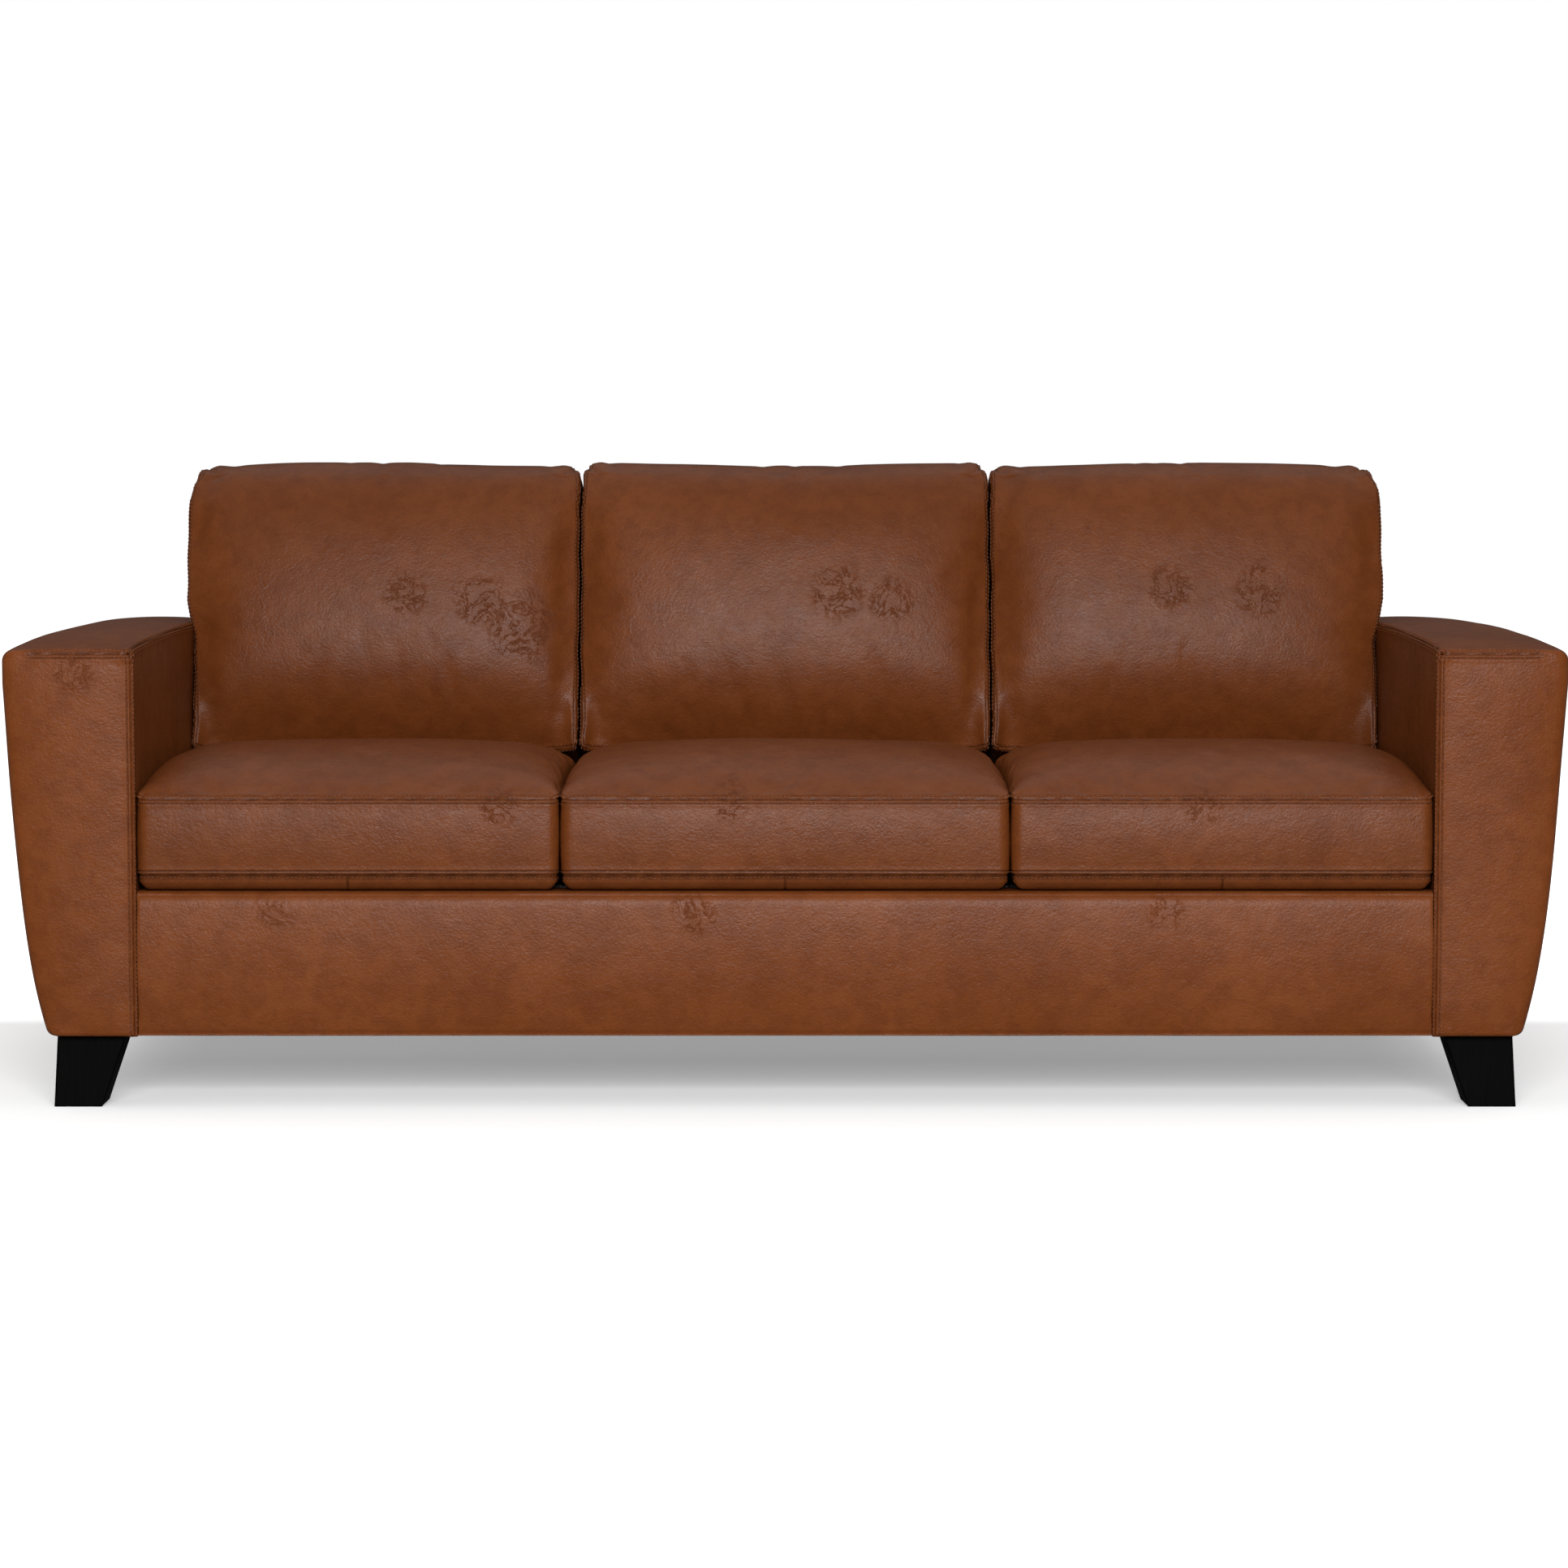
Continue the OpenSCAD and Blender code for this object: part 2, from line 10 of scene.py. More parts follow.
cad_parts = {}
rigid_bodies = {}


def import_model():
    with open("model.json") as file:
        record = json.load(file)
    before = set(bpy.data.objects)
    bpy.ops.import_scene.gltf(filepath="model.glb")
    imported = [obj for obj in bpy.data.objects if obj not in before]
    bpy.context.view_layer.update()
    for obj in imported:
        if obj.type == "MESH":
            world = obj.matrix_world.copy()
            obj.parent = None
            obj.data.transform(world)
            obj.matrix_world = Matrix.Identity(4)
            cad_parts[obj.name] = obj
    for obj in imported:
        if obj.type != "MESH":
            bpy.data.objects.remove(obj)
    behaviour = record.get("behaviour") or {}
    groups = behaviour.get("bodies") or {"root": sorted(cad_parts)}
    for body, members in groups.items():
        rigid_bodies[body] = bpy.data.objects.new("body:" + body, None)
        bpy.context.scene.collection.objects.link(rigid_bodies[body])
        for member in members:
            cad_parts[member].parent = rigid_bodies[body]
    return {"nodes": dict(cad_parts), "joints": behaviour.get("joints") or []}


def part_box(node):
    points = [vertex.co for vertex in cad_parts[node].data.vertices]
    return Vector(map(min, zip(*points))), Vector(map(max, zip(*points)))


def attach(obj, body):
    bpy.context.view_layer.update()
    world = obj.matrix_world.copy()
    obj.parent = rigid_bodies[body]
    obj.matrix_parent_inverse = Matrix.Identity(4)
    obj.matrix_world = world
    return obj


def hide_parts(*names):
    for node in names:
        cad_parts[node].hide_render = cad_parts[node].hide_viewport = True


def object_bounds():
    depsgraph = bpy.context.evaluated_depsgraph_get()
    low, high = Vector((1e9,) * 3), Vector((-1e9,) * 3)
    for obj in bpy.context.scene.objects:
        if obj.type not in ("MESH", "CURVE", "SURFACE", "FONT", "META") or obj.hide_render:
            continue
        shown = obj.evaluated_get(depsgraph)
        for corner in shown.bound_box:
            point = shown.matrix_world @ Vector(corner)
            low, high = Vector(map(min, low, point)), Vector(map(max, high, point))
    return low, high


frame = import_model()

CAD_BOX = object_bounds()
MM = 0.001
TOPSTITCH = 6 * MM            # distance of each row of stitching from its seam

# ---------- places, all from the frame ----------

LOW, HIGH = (Vector(c) for c in CAD_BOX)
FRONT, REAR = LOW.y, HIGH.y
ARM_LOW, ARM_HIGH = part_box("right_arm_side_cover")
INSIDE = ARM_LOW.x                      # inner face of an arm
ARM_TOP = ARM_HIGH.z
FOOT_Z = ARM_LOW.z                      # underside of the padded body
JOINTS = {j["name"]: j for j in frame["joints"]}
PITCH = math.asin(JOINTS["middle_seat_lift_out"]["axis"][2])
RAKE = math.asin(JOINTS["middle_back_lift_out"]["axis"][1])
RAIL_LOW, RAIL_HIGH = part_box("front_rail_cover")
DECK_FRONT_Z = RAIL_HIGH.z + 12 * MM * math.tan(PITCH)
BACK_LOW, BACK_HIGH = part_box("inside_back_cover")
BACK_FOOT = Vector((0, FRONT + 740 * MM, 300 * MM))   # inside back at its reference height
DECK_BACK_LENGTH = 735 * MM
SEAT_BOX = {side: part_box(side + "_seat_cover") for side in ("left", "middle", "right")}
SIDES = ("left", "middle", "right")


def deck_point(x, s, t):
    """Row-frame point of deck coordinates: s runs back along the deck, t square to it."""
    c, n = math.cos(PITCH), math.sin(PITCH)
    return np.stack([x, FRONT + s * c + t * n, DECK_FRONT_Z - s * n + t * c], -1)


def rake_point(x, v, w):
    """Row-frame point of rake coordinates: v is the distance in front of the inside back, w up it."""
    c, n = math.cos(RAKE), math.sin(RAKE)
    return np.stack([x, BACK_FOOT.y - v * c + w * n, BACK_FOOT.z + v * n + w * c], -1)


# ---------- mesh tools ----------

def graded(length, fine, coarse, growth=1.32):
    """Grid lines across a length, close at both ends and open in the middle."""
    steps, step = [0.0], fine
    while steps[-1] + step < length / 2:
        steps.append(steps[-1] + step)
        step = min(step * growth, coarse)
    half = np.array(steps) * (length / 2 / steps[-1])
    return np.concatenate([half, length - half[::-1][1:]])


def sewn(length, coarse):
    """Grid lines for a panel with a seam at each end: close where the seam and its topstitching lie."""
    near = np.array([0, 1.4, 2.8, 4.2, 5.3, 6.0, 6.7, 7.8, 9.4, 11.6, 14.6, 18.6]) * MM
    rest = length / 2 - near[-1]
    count = max(1, int(math.ceil(rest / coarse)))
    half = np.concatenate([near, near[-1] + rest * np.arange(1, count + 1) / count])
    return np.concatenate([half, length - half[::-1][1:]])


class Lattice:
    """The surface of a box grid. Each vertex knows its grid place, so that a formula can shape it."""

    def __init__(self, a_lines, b_lines, c_lines):
        shape = (len(a_lines), len(b_lines), len(c_lines))
        shell = np.zeros(shape, bool)
        shell[[0, -1]] = True
        shell[:, [0, -1]] = True
        shell[:, :, [0, -1]] = True
        self.lines = (a_lines, b_lines, c_lines)
        self.ijk = np.argwhere(shell)
        self.ids = -np.ones(shape, int)
        self.ids[tuple(self.ijk.T)] = np.arange(len(self.ijk))
        self.a = a_lines[self.ijk[:, 0]]
        self.b = b_lines[self.ijk[:, 1]]
        self.c = c_lines[self.ijk[:, 2]]
        ids = self.ids
        self.panels = {
            "top": self.sheet(ids[:, :, -1], False), "bottom": self.sheet(ids[:, :, 0], True),
            "front": self.sheet(ids[:, 0, :], False), "rear": self.sheet(ids[:, -1, :], True),
            "left": self.sheet(ids[0], True), "right": self.sheet(ids[-1], False)}

    @staticmethod
    def sheet(grid, flip):
        quads = np.stack([grid[:-1, :-1], grid[1:, :-1], grid[1:, 1:], grid[:-1, 1:]], -1).reshape(-1, 4)
        return quads[:, ::-1] if flip else quads

    def quads(self):
        return np.concatenate(list(self.panels.values()))

    def rim(self, k):
        """The closed loop of vertices round the grid at one c line."""
        ids = self.ids[:, :, k]
        return np.concatenate([ids[:-1, 0], ids[-1, :-1], ids[:0:-1, -1], ids[0, :0:-1]])


# middles of the patches of vein scars on the fronts of the hides: x, z and radius in metres
SCARS = (
    (-0.580, 0.705, 0.040), (-0.465, 0.700, 0.045), (-0.400, 0.655, 0.055), (0.080, 0.705, 0.045),
    (0.165, 0.695, 0.040), (0.590, 0.715, 0.040), (0.725, 0.705, 0.045), (-0.405, 0.425, 0.030),
    (-0.075, 0.435, 0.032), (0.585, 0.425, 0.030), (-0.130, 0.280, 0.035), (0.535, 0.280, 0.032),
    (-0.715, 0.280, 0.032), (-0.995, 0.615, 0.036),
)


def new_object(name, verts, quads, material, body, slot, smooth=True, groove_shade=None):
    mesh = bpy.data.meshes.new(name)
    used = np.unique(quads)
    remap = -np.ones(len(verts), int)
    remap[used] = np.arange(len(used))
    mesh.from_pydata(np.asarray(verts)[used].tolist(), [], remap[quads].tolist())
    mesh.polygons.foreach_set("use_smooth", [smooth] * len(mesh.polygons))
    mesh.materials.append(material)
    mesh.update()
    # painted shade along the seam grooves and stitch channels, kept on the mesh for the hide to darken
    if groove_shade is not None:
        mesh.attributes.new("groove", "FLOAT", "POINT").data.foreach_set("value", np.clip(groove_shade[used], 0, 1))
    if slot == "leather":
        place = np.asarray(verts)[used]
        patch = np.zeros(len(place))
        for x, z, radius in SCARS:
            away = ((place[:, 0] - x) ** 2 + (place[:, 2] - z) ** 2) / radius ** 2
            patch = np.maximum(patch, np.exp(-away) * (place[:, 1] < 0.2))
        mesh.attributes.new("scarred", "FLOAT", "POINT").data.foreach_set("value", patch)
    obj = bpy.data.objects.new(name, mesh)
    bpy.context.scene.collection.objects.link(obj)
    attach(obj, body)
    return obj


def normals_of(verts, quads):
    """Area-weighted vertex normals."""
    p = verts[quads]
    n = np.cross(p[:, 2] - p[:, 0], p[:, 3] - p[:, 1])
    out = np.zeros_like(verts)
    for k in range(4):
        np.add.at(out, quads[:, k], n)
    return out / np.maximum(np.linalg.norm(out, axis=1, keepdims=True), 1e-12)


def resample(points, step, closed):
    """Points a step apart along a line, and their distances along it."""
    pts = np.asarray(points, float)
    if closed:
        pts = np.vstack([pts, pts[:1]])
    gaps = np.linalg.norm(np.diff(pts, axis=0), axis=1)
    s = np.concatenate([[0], np.cumsum(gaps)])
    count = max(2, int(round(s[-1] / step)))
    at = np.linspace(0, s[-1], count + 1)
    return np.stack([np.interp(at, s, pts[:, k]) for k in range(3)], -1), at


def near_line(verts, line, reach):
    """For each vertex within reach of a line: its index, distance and place along the line."""
    points, at = resample(line[0], 3 * MM, line[1])
    tree = KDTree(len(points))
    for i, p in enumerate(points):
        tree.insert(p, i)
    tree.balance()
    low, high = points.min(0) - reach, points.max(0) + reach
    near = np.flatnonzero(((verts > low) & (verts < high)).all(1))
    found = []
    for i in near:
        _, j, d = tree.find(verts[i])
        if d < reach:
            found.append((i, d, at[j]))
    table = np.array(found) if found else np.zeros((0, 3))
    return table[:, 0].astype(int), table[:, 1], table[:, 2]


def smooth_noise(points, scale, seed):
    """Soft noise from -1 to 1 at each point, with features about scale metres across."""
    shift = Vector((seed * 13.7, seed * 5.1, seed * 9.3))
    return np.array([noise.noise(Vector(p) / scale + shift) for p in points])


def line_noise(at, scale, seed):
    return np.array([noise.noise(Vector((s / scale, seed * 7.3, 0.5))) for s in at])


def press_seam(verts, normals, line, depth=2.6 * MM, width=2.0 * MM, roll=1.0 * MM, channel=1.5 * MM,
               groove_shade=None):
    """Sinks a groove along a seam, raises a soft roll on each side where the allowance lies, and
    draws the leather down along the two rows of topstitching. Its last argument gathers painted shade: how dark
    the groove and the two stitch channels are drawn on the hide."""
    i, d, _ = near_line(verts, line, 26 * MM)
    sink = depth * np.exp(-(d / width) ** 2) + channel * np.exp(-((d - TOPSTITCH) / (1.1 * MM)) ** 2)
    lift = roll * np.exp(-((d - TOPSTITCH) / (4.5 * MM)) ** 2)
    verts[i] += normals[i] * (lift - sink)[:, None]
    # painted shade: dark along the seam line and along each row of topstitching
    shade = np.exp(-(d / (1.7 * MM)) ** 2) + 0.75 * (channel > 0) * np.exp(-((d - TOPSTITCH) / (1.0 * MM)) ** 2)
    if groove_shade is not None:
        np.maximum.at(groove_shade, i, shade)


def pucker_seam(verts, normals, line, height, seed, reach=34 * MM, wave=17 * MM, keep=None):
    """Short folds that leave a seam square to it and die out into the panel."""
    i, d, at = near_line(verts, line, reach * 2.4)
    if keep is not None:
        chosen = keep[i]
        i, d, at = i[chosen], d[chosen], at[chosen]
    fold = line_noise(at, wave, seed) + 0.5 * line_noise(at, wave * 0.45, seed + 3)
    patch = np.clip(line_noise(at, 0.11, seed + 9) + 0.35, 0, 1)
    fade = (1 - np.exp(-d / (5 * MM))) * np.exp(-(d / reach) ** 1.4)
    verts[i] += normals[i] * (height * fold * patch * fade)[:, None]


# ---------- stitching ----------

STITCH = 4.6 * MM
STITCH_GAP = 1.5 * MM
THREAD_R = 0.42 * MM


def stitch_rows(name, verts, quads, rows, material, body):
    """Sewn thread along each row. A row is a line, whether it is closed, and the thread's offset from it."""
    tree = BVHTree.FromPolygons([Vector(v) for v in verts], [list(map(int, q)) for q in quads])
    out_v, out_f = [], []
    for line, closed, offset in rows:
        points, _ = resample(line, STITCH + STITCH_GAP, closed)
        tangents = np.gradient(points, axis=0)
        for p, t in zip(points, tangents):
            hit, n, _, _ = tree.find_nearest(Vector(p))
            if hit is None:
                continue
            t = Vector(t).normalized()
            side = n.cross(t).normalized()
            q, n2, _, _ = tree.find_nearest(Vector(p) + side * offset)
            if q is None or (q - Vector(p)).length > abs(offset) * 2.2 + 2 * MM:
                continue
            add_stitch(out_v, out_f, q + n2 * (0.15 * MM), t, n2)
    new_object(name, np.array(out_v), np.array(out_f), material, body, "leather")


def add_stitch(out_v, out_f, centre, along, up):
    """One thread loop: a bead that dips into the leather at both ends."""
    side = up.cross(along).normalized()
    base = len(out_v)
    for pos, size, dip in ((-0.5, 0.55, -0.35), (-0.25, 1, 0.35), (0.25, 1, 0.35), (0.5, 0.55, -0.35)):
        mid = centre + along * (pos * STITCH) + up * (dip * THREAD_R)
        for u, v in ((1, 0), (0, 1), (-1, 0), (0, -1)):
            out_v.append(tuple(mid + side * (u * THREAD_R * size) + up * (v * THREAD_R * size)))
    for ring in range(3):
        for k in range(4):
            a, b = base + ring * 4 + k, base + ring * 4 + (k + 1) % 4
            out_f.append((a, b, b + 4, a + 4))
    out_f.append((base + 3, base + 2, base + 1, base))
    out_f.append((base + 12, base + 13, base + 14, base + 15))


# ---------- materials ----------

class Nodes:
    """A short way to write a node tree."""

    def __init__(self, name):
        self.material = bpy.data.materials.new(name)
        self.material.use_nodes = True
        self.tree = self.material.node_tree
        self.tree.nodes.clear()
        self.out = self.add("ShaderNodeOutputMaterial")
        self.shader = self.add("ShaderNodeBsdfPrincipled")
        self.link(self.shader.outputs["BSDF"], self.out.inputs["Surface"])
        self.place = self.add("ShaderNodeTexCoord").outputs["Object"]

    def add(self, kind, **values):
        node = self.tree.nodes.new(kind)
        for key, value in values.items():
            setattr(node, key, value)
        return node

    def link(self, a, b):
        self.tree.links.new(a, b)

    def put(self, target, value):
        if isinstance(value, bpy.types.NodeSocket):
            self.link(value, target)
        else:
            target.default_value = value

    def noise(self, scale, detail=3, rough=0.5, distort=0.0, place=None):
        n = self.add("ShaderNodeTexNoise")
        self.link(place or self.place, n.inputs["Vector"])
        for key, value in (("Scale", scale), ("Detail", detail), ("Roughness", rough), ("Distortion", distort)):
            n.inputs[key].default_value = value
        return n.outputs["Fac"]

    def voronoi(self, scale, feature="F1", place=None):
        n = self.add("ShaderNodeTexVoronoi", feature=feature)
        self.link(place or self.place, n.inputs["Vector"])
        n.inputs["Scale"].default_value = scale
        return n.outputs["Distance"]

    def math(self, op, a, b=0.0):
        n = self.add("ShaderNodeMath", operation=op)
        self.put(n.inputs[0], a)
        self.put(n.inputs[1], b)
        return n.outputs[0]

    def ramp(self, value, low, high, out_low=0.0, out_high=1.0):
        n = self.add("ShaderNodeMapRange", clamp=True)
        self.put(n.inputs["Value"], value)
        for key, v in (("From Min", low), ("From Max", high), ("To Min", out_low), ("To Max", out_high)):
            n.inputs[key].default_value = v
        return n.outputs["Result"]

    def mix(self, fac, a, b):
        n = self.add("ShaderNodeMix", data_type="RGBA")
        self.put(n.inputs["Factor"], fac)
        self.put(n.inputs["A"], a)
        self.put(n.inputs["B"], b)
        return n.outputs["Result"]

    def bump(self, height, distance, strength=1.0, normal=None):
        n = self.add("ShaderNodeBump")
        self.put(n.inputs["Height"], height)
        n.inputs["Distance"].default_value = distance
        n.inputs["Strength"].default_value = strength
        if normal is not None:
            self.link(normal, n.inputs["Normal"])
        return n.outputs["Normal"]

    def moved(self, shift, scale=(1, 1, 1)):
        n = self.add("ShaderNodeMapping")
        self.link(self.place, n.inputs["Vector"])
        n.inputs["Location"].default_value = shift
        n.inputs["Scale"].default_value = scale
        return n.outputs["Vector"]

    def set(self, **values):
        for key, value in values.items():
            self.put(self.shader.inputs[key.replace("_", " ")], value)
        return self.material


def leather(name, shade_tone=1.0, shift=(0, 0, 0)):
    """Pebble-grained cognac hide: mottled dye, fine creases darkened in their valleys as painted shade, vein
    scars, and painted shade in the seam grooves.
    """
    m = Nodes(name)
    place = m.moved(shift)
    base = (0.152 * shade_tone, 0.0390 * shade_tone, 0.0082 * shade_tone, 1)
    light = (0.178 * shade_tone, 0.0480 * shade_tone, 0.0115 * shade_tone, 1)
    dark = (0.086 * shade_tone, 0.0185 * shade_tone, 0.0038 * shade_tone, 1)
    cloud = m.noise(4.5, 4, 0.55, 0.4, place)
    mottle = m.noise(34, 5, 0.62, 0.3, place)
    pebble = m.voronoi(300, "SMOOTH_F1", place)
    pores = m.noise(700, 3, 0.6, 0.0, place)
    crease = m.noise(1.0, 4, 0.6, 1.4, m.moved(shift, (120, 200, 260)))
    colour = m.mix(m.ramp(cloud, 0.36, 0.66), base, light)
    colour = m.mix(m.ramp(mottle, 0.40, 0.64, 0.0, 0.34), colour, dark)
    # painted shade: the crease valleys that the bump below sinks are drawn darker
    colour = m.mix(m.ramp(crease, 0.30, 0.46, 0.36, 0.0), colour, dark)
    # vein scars: thin ridged lines that show only inside the patches marked on the hide
    ridge = m.math("ABSOLUTE", m.math("SUBTRACT", m.noise(30, 8, 0.72, 1.1, place), 0.5))
    line = m.ramp(ridge, 0.0, 0.024, 1.0, 0.0)
    patch = m.add("ShaderNodeAttribute", attribute_name="scarred").outputs["Fac"]
    ragged = m.ramp(m.math("ADD", patch, m.noise(17, 4, 0.6, 0.0, place)), 0.80, 1.15)
    scar = m.math("MULTIPLY", line, ragged)
    colour = m.mix(m.math("MULTIPLY", ragged, 0.10), colour, dark)
    colour = m.mix(m.math("MULTIPLY", scar, 0.60), colour, dark)
    groove = m.add("ShaderNodeAttribute", attribute_name="groove").outputs["Fac"]
    # painted shade: the marked seam grooves and stitch channels are drawn a near-black brown
    colour = m.mix(m.math("MULTIPLY", groove, 0.8), colour, tuple(c * 0.35 for c in dark[:3]) + (1,))
    rough = m.ramp(m.noise(26, 4, 0.6, 0.2, place), 0.3, 0.7, 0.31, 0.41)
    height = m.math("ADD", m.math("MULTIPLY", pebble, -1.0), m.math("MULTIPLY", pores, 0.3))
    height = m.math("ADD", height, m.math("MULTIPLY", crease, 1.3))
    normal = m.bump(height, 0.42 * MM, 0.8)
    normal = m.bump(m.math("SUBTRACT", m.noise(45, 3, 0.5, 0.8, place), m.math("MULTIPLY", scar, 0.35)),
                    1.1 * MM, 0.6, normal)
    return m.set(Base_Color=colour, Roughness=rough, Normal=normal, Specular_IOR_Level=0.15)


def black_wood(name):
    """Black stained wood under satin lacquer: the long grain still prints through."""
    m = Nodes(name)
    grain = m.noise(1.0, 5, 0.6, 0.6, m.moved((0, 0, 0), (420, 420, 26)))
    colour = m.mix(m.ramp(grain, 0.35, 0.65), (0.0007, 0.0007, 0.0007, 1), (0.0018, 0.0017, 0.0016, 1))
    rough = m.ramp(grain, 0.3, 0.7, 0.50, 0.62)
    return m.set(Base_Color=colour, Roughness=rough, Normal=m.bump(grain, 0.2 * MM, 0.4),
                 Specular_IOR_Level=0.04)


def timber(name, pale, dark, stretch):
    """Sawn frame timber with its grain along one axis."""
    m = Nodes(name)
    fine = m.noise(1.0, 5, 0.6, 0.3, m.moved((0, 0, 0), tuple(6 if k == stretch else 160 for k in range(3))))
    rings = m.noise(1.0, 3, 0.5, 1.0, m.moved((3, 1, 2), tuple(1.5 if k == stretch else 22 for k in range(3))))
    grain = m.math("ADD", m.math("MULTIPLY", fine, 0.5), m.math("MULTIPLY", rings, 0.5))
    return m.set(Base_Color=m.mix(m.ramp(grain, 0.4, 0.6), pale, dark),
                 Roughness=m.ramp(fine, 0.3, 0.7, 0.6, 0.8), Normal=m.bump(fine, 0.4 * MM, 0.4))


def cloth(name, thread, shade, pitch):
    """Plain woven or felted cloth: crossing threads with uneven dye."""
    m = Nodes(name)
    waves = []
    for axis in ("X", "Y"):
        w = m.add("ShaderNodeTexWave", bands_direction=axis)
        m.link(m.place, w.inputs["Vector"])
        w.inputs["Scale"].default_value = 1 / pitch / 6.283 * 3.1416
        w.inputs["Distortion"].default_value = 0.6
        waves.append(w.outputs["Fac"])
    weave = m.math("MAXIMUM", *waves)
    colour = m.mix(m.ramp(m.noise(60, 4, 0.6), 0.35, 0.65), thread, shade)
    return m.set(Base_Color=m.mix(m.math("MULTIPLY", weave, 0.4), colour, shade), Roughness=0.92,
                 Normal=m.bump(weave, 0.3 * MM, 0.7), Sheen_Weight=0.25)


def foam_material(name):
    """Open-cell foam: fine pits and a slightly yellowed skin."""
    m = Nodes(name)
    cells = m.voronoi(520)
    colour = m.mix(m.ramp(m.noise(9, 3), 0.35, 0.65), (0.80, 0.72, 0.48, 1), (0.70, 0.60, 0.36, 1))
    return m.set(Base_Color=colour, Roughness=0.95, Normal=m.bump(cells, 0.5 * MM, 0.8))


def steel_material(name, colour, rough):
    """Drawn spring steel with faint streaks."""
    m = Nodes(name)
    streak = m.noise(1.0, 4, 0.6, 0.2, m.moved((0, 0, 0), (30, 500, 500)))
    dull = tuple(c * 0.6 for c in colour[:3]) + (1,)
    return m.set(Base_Color=m.mix(m.ramp(streak, 0.3, 0.7, 0, 0.5), colour, dull), Metallic=0.95,
                 Roughness=m.ramp(streak, 0.3, 0.7, rough, rough + 0.15), Normal=m.bump(streak, 0.1 * MM, 0.3))


def thread_material(name):
    """Twisted polyester thread, a shade lighter than the hide."""
    m = Nodes(name)
    twist = m.noise(900, 2, 0.5)
    return m.set(Base_Color=m.mix(twist, (0.15, 0.048, 0.019, 1), (0.22, 0.080, 0.036, 1)), Roughness=0.55,
                 Normal=m.bump(twist, 0.1 * MM, 0.5))


HIDE, HIDE_BACK = {}, {}
# painted shade: the seat and back-cushion copies of the hide are made darker than the arm's (0.86 and 0.80 against
# 1.0), and the rail's a little (0.98)
for k, side in enumerate(SIDES):
    HIDE[side] = leather("leather_seat_" + side, 0.86, (k * 3.1, k * 1.7, k * 0.9))
for k, side in enumerate(SIDES):
    HIDE_BACK[side] = leather("leather_back_" + side, 0.80, (k * 2.3, 4 + k, k * 1.3))
HIDE_ARM = leather("leather_arm", 1.0, (9.1, 2.3, 4.4))
HIDE_RAIL = leather("leather_rail", 0.98, (5.3, 7.7, 1.4))
THREAD = thread_material("thread")
BLACK_WOOD = black_wood("leg_black_wood")
FOAM = foam_material("foam")
DECK = cloth("deck_cloth", (0.055, 0.036, 0.028, 1), (0.03, 0.02, 0.016, 1), 1.2 * MM)
DUST = cloth("dust_cloth", (0.02, 0.02, 0.021, 1), (0.012, 0.012, 0.013, 1), 0.9 * MM)
WEBBING = cloth("webbing", (0.30, 0.19, 0.10, 1), (0.16, 0.09, 0.05, 1), 1.6 * MM)
STEEL = steel_material("spring_steel", (0.45, 0.46, 0.48, 1), 0.3)
BRASS = steel_material("zip_brass", (0.35, 0.22, 0.09, 1), 0.35)
PINE = [timber("pine_" + "xyz"[k], (0.62, 0.42, 0.22, 1), (0.42, 0.25, 0.11, 1), k) for k in range(3)]
PLY = timber("plywood", (0.66, 0.48, 0.28, 1), (0.50, 0.33, 0.17, 1), 2)
FIBRE = timber("fibreboard", (0.20, 0.12, 0.07, 1), (0.13, 0.075, 0.04, 1), 1)

# ---------- cloth ----------

SIM_CELL = 10 * MM
SIM_PRESSURE = 4.0
SIM_CAP = 24 * MM
SIM_EXCESS = 0.010            # how much larger each hide panel is cut than the form it covers
SIM_KEEP_SWELL = 0.10         # share of the overall swelling that is kept
SIM_KEEP_SEAT = 0.75          # share of the folds that is kept on a seat cushion
SIM_KEEP_BACK = 0.40          # and on a back cushion


def cubic_rows(count, at):
    """Catmull-Rom weights that read a row of count even samples at places from 0 to 1."""
    rows = np.zeros((len(at), count))
    place = np.clip(at, 0, 1) * (count - 1)
    base = np.minimum(place.astype(int), count - 2)
    f = place - base
    weights = (-0.5 * f + f ** 2 - 0.5 * f ** 3, 1 - 2.5 * f ** 2 + 1.5 * f ** 3,
               0.5 * f + 2 * f ** 2 - 1.5 * f ** 3, -0.5 * f ** 2 + 0.5 * f ** 3)
    for k, w in enumerate(weights):
        np.add.at(rows, (np.arange(len(at)), np.clip(base + k - 1, 0, count - 1)), w)
    return rows


def spread_edges(values, quads, held, rounds):
    """Values smoothed over the mesh, kept at zero where it is held."""
    edges = np.concatenate([quads[:, [0, 1]], quads[:, [1, 2]], quads[:, [2, 3]], quads[:, [3, 0]]])
    degree = np.bincount(edges[:, 0], minlength=len(values))[:, None]
    out = values.copy()
    for _ in range(rounds):
        total = np.zeros_like(out)
        np.add.at(total, edges[:, 0], out[edges[:, 1]])
        out = 0.4 * out + 0.6 * total / np.maximum(degree, 1)
        out[held] = 0
    return out


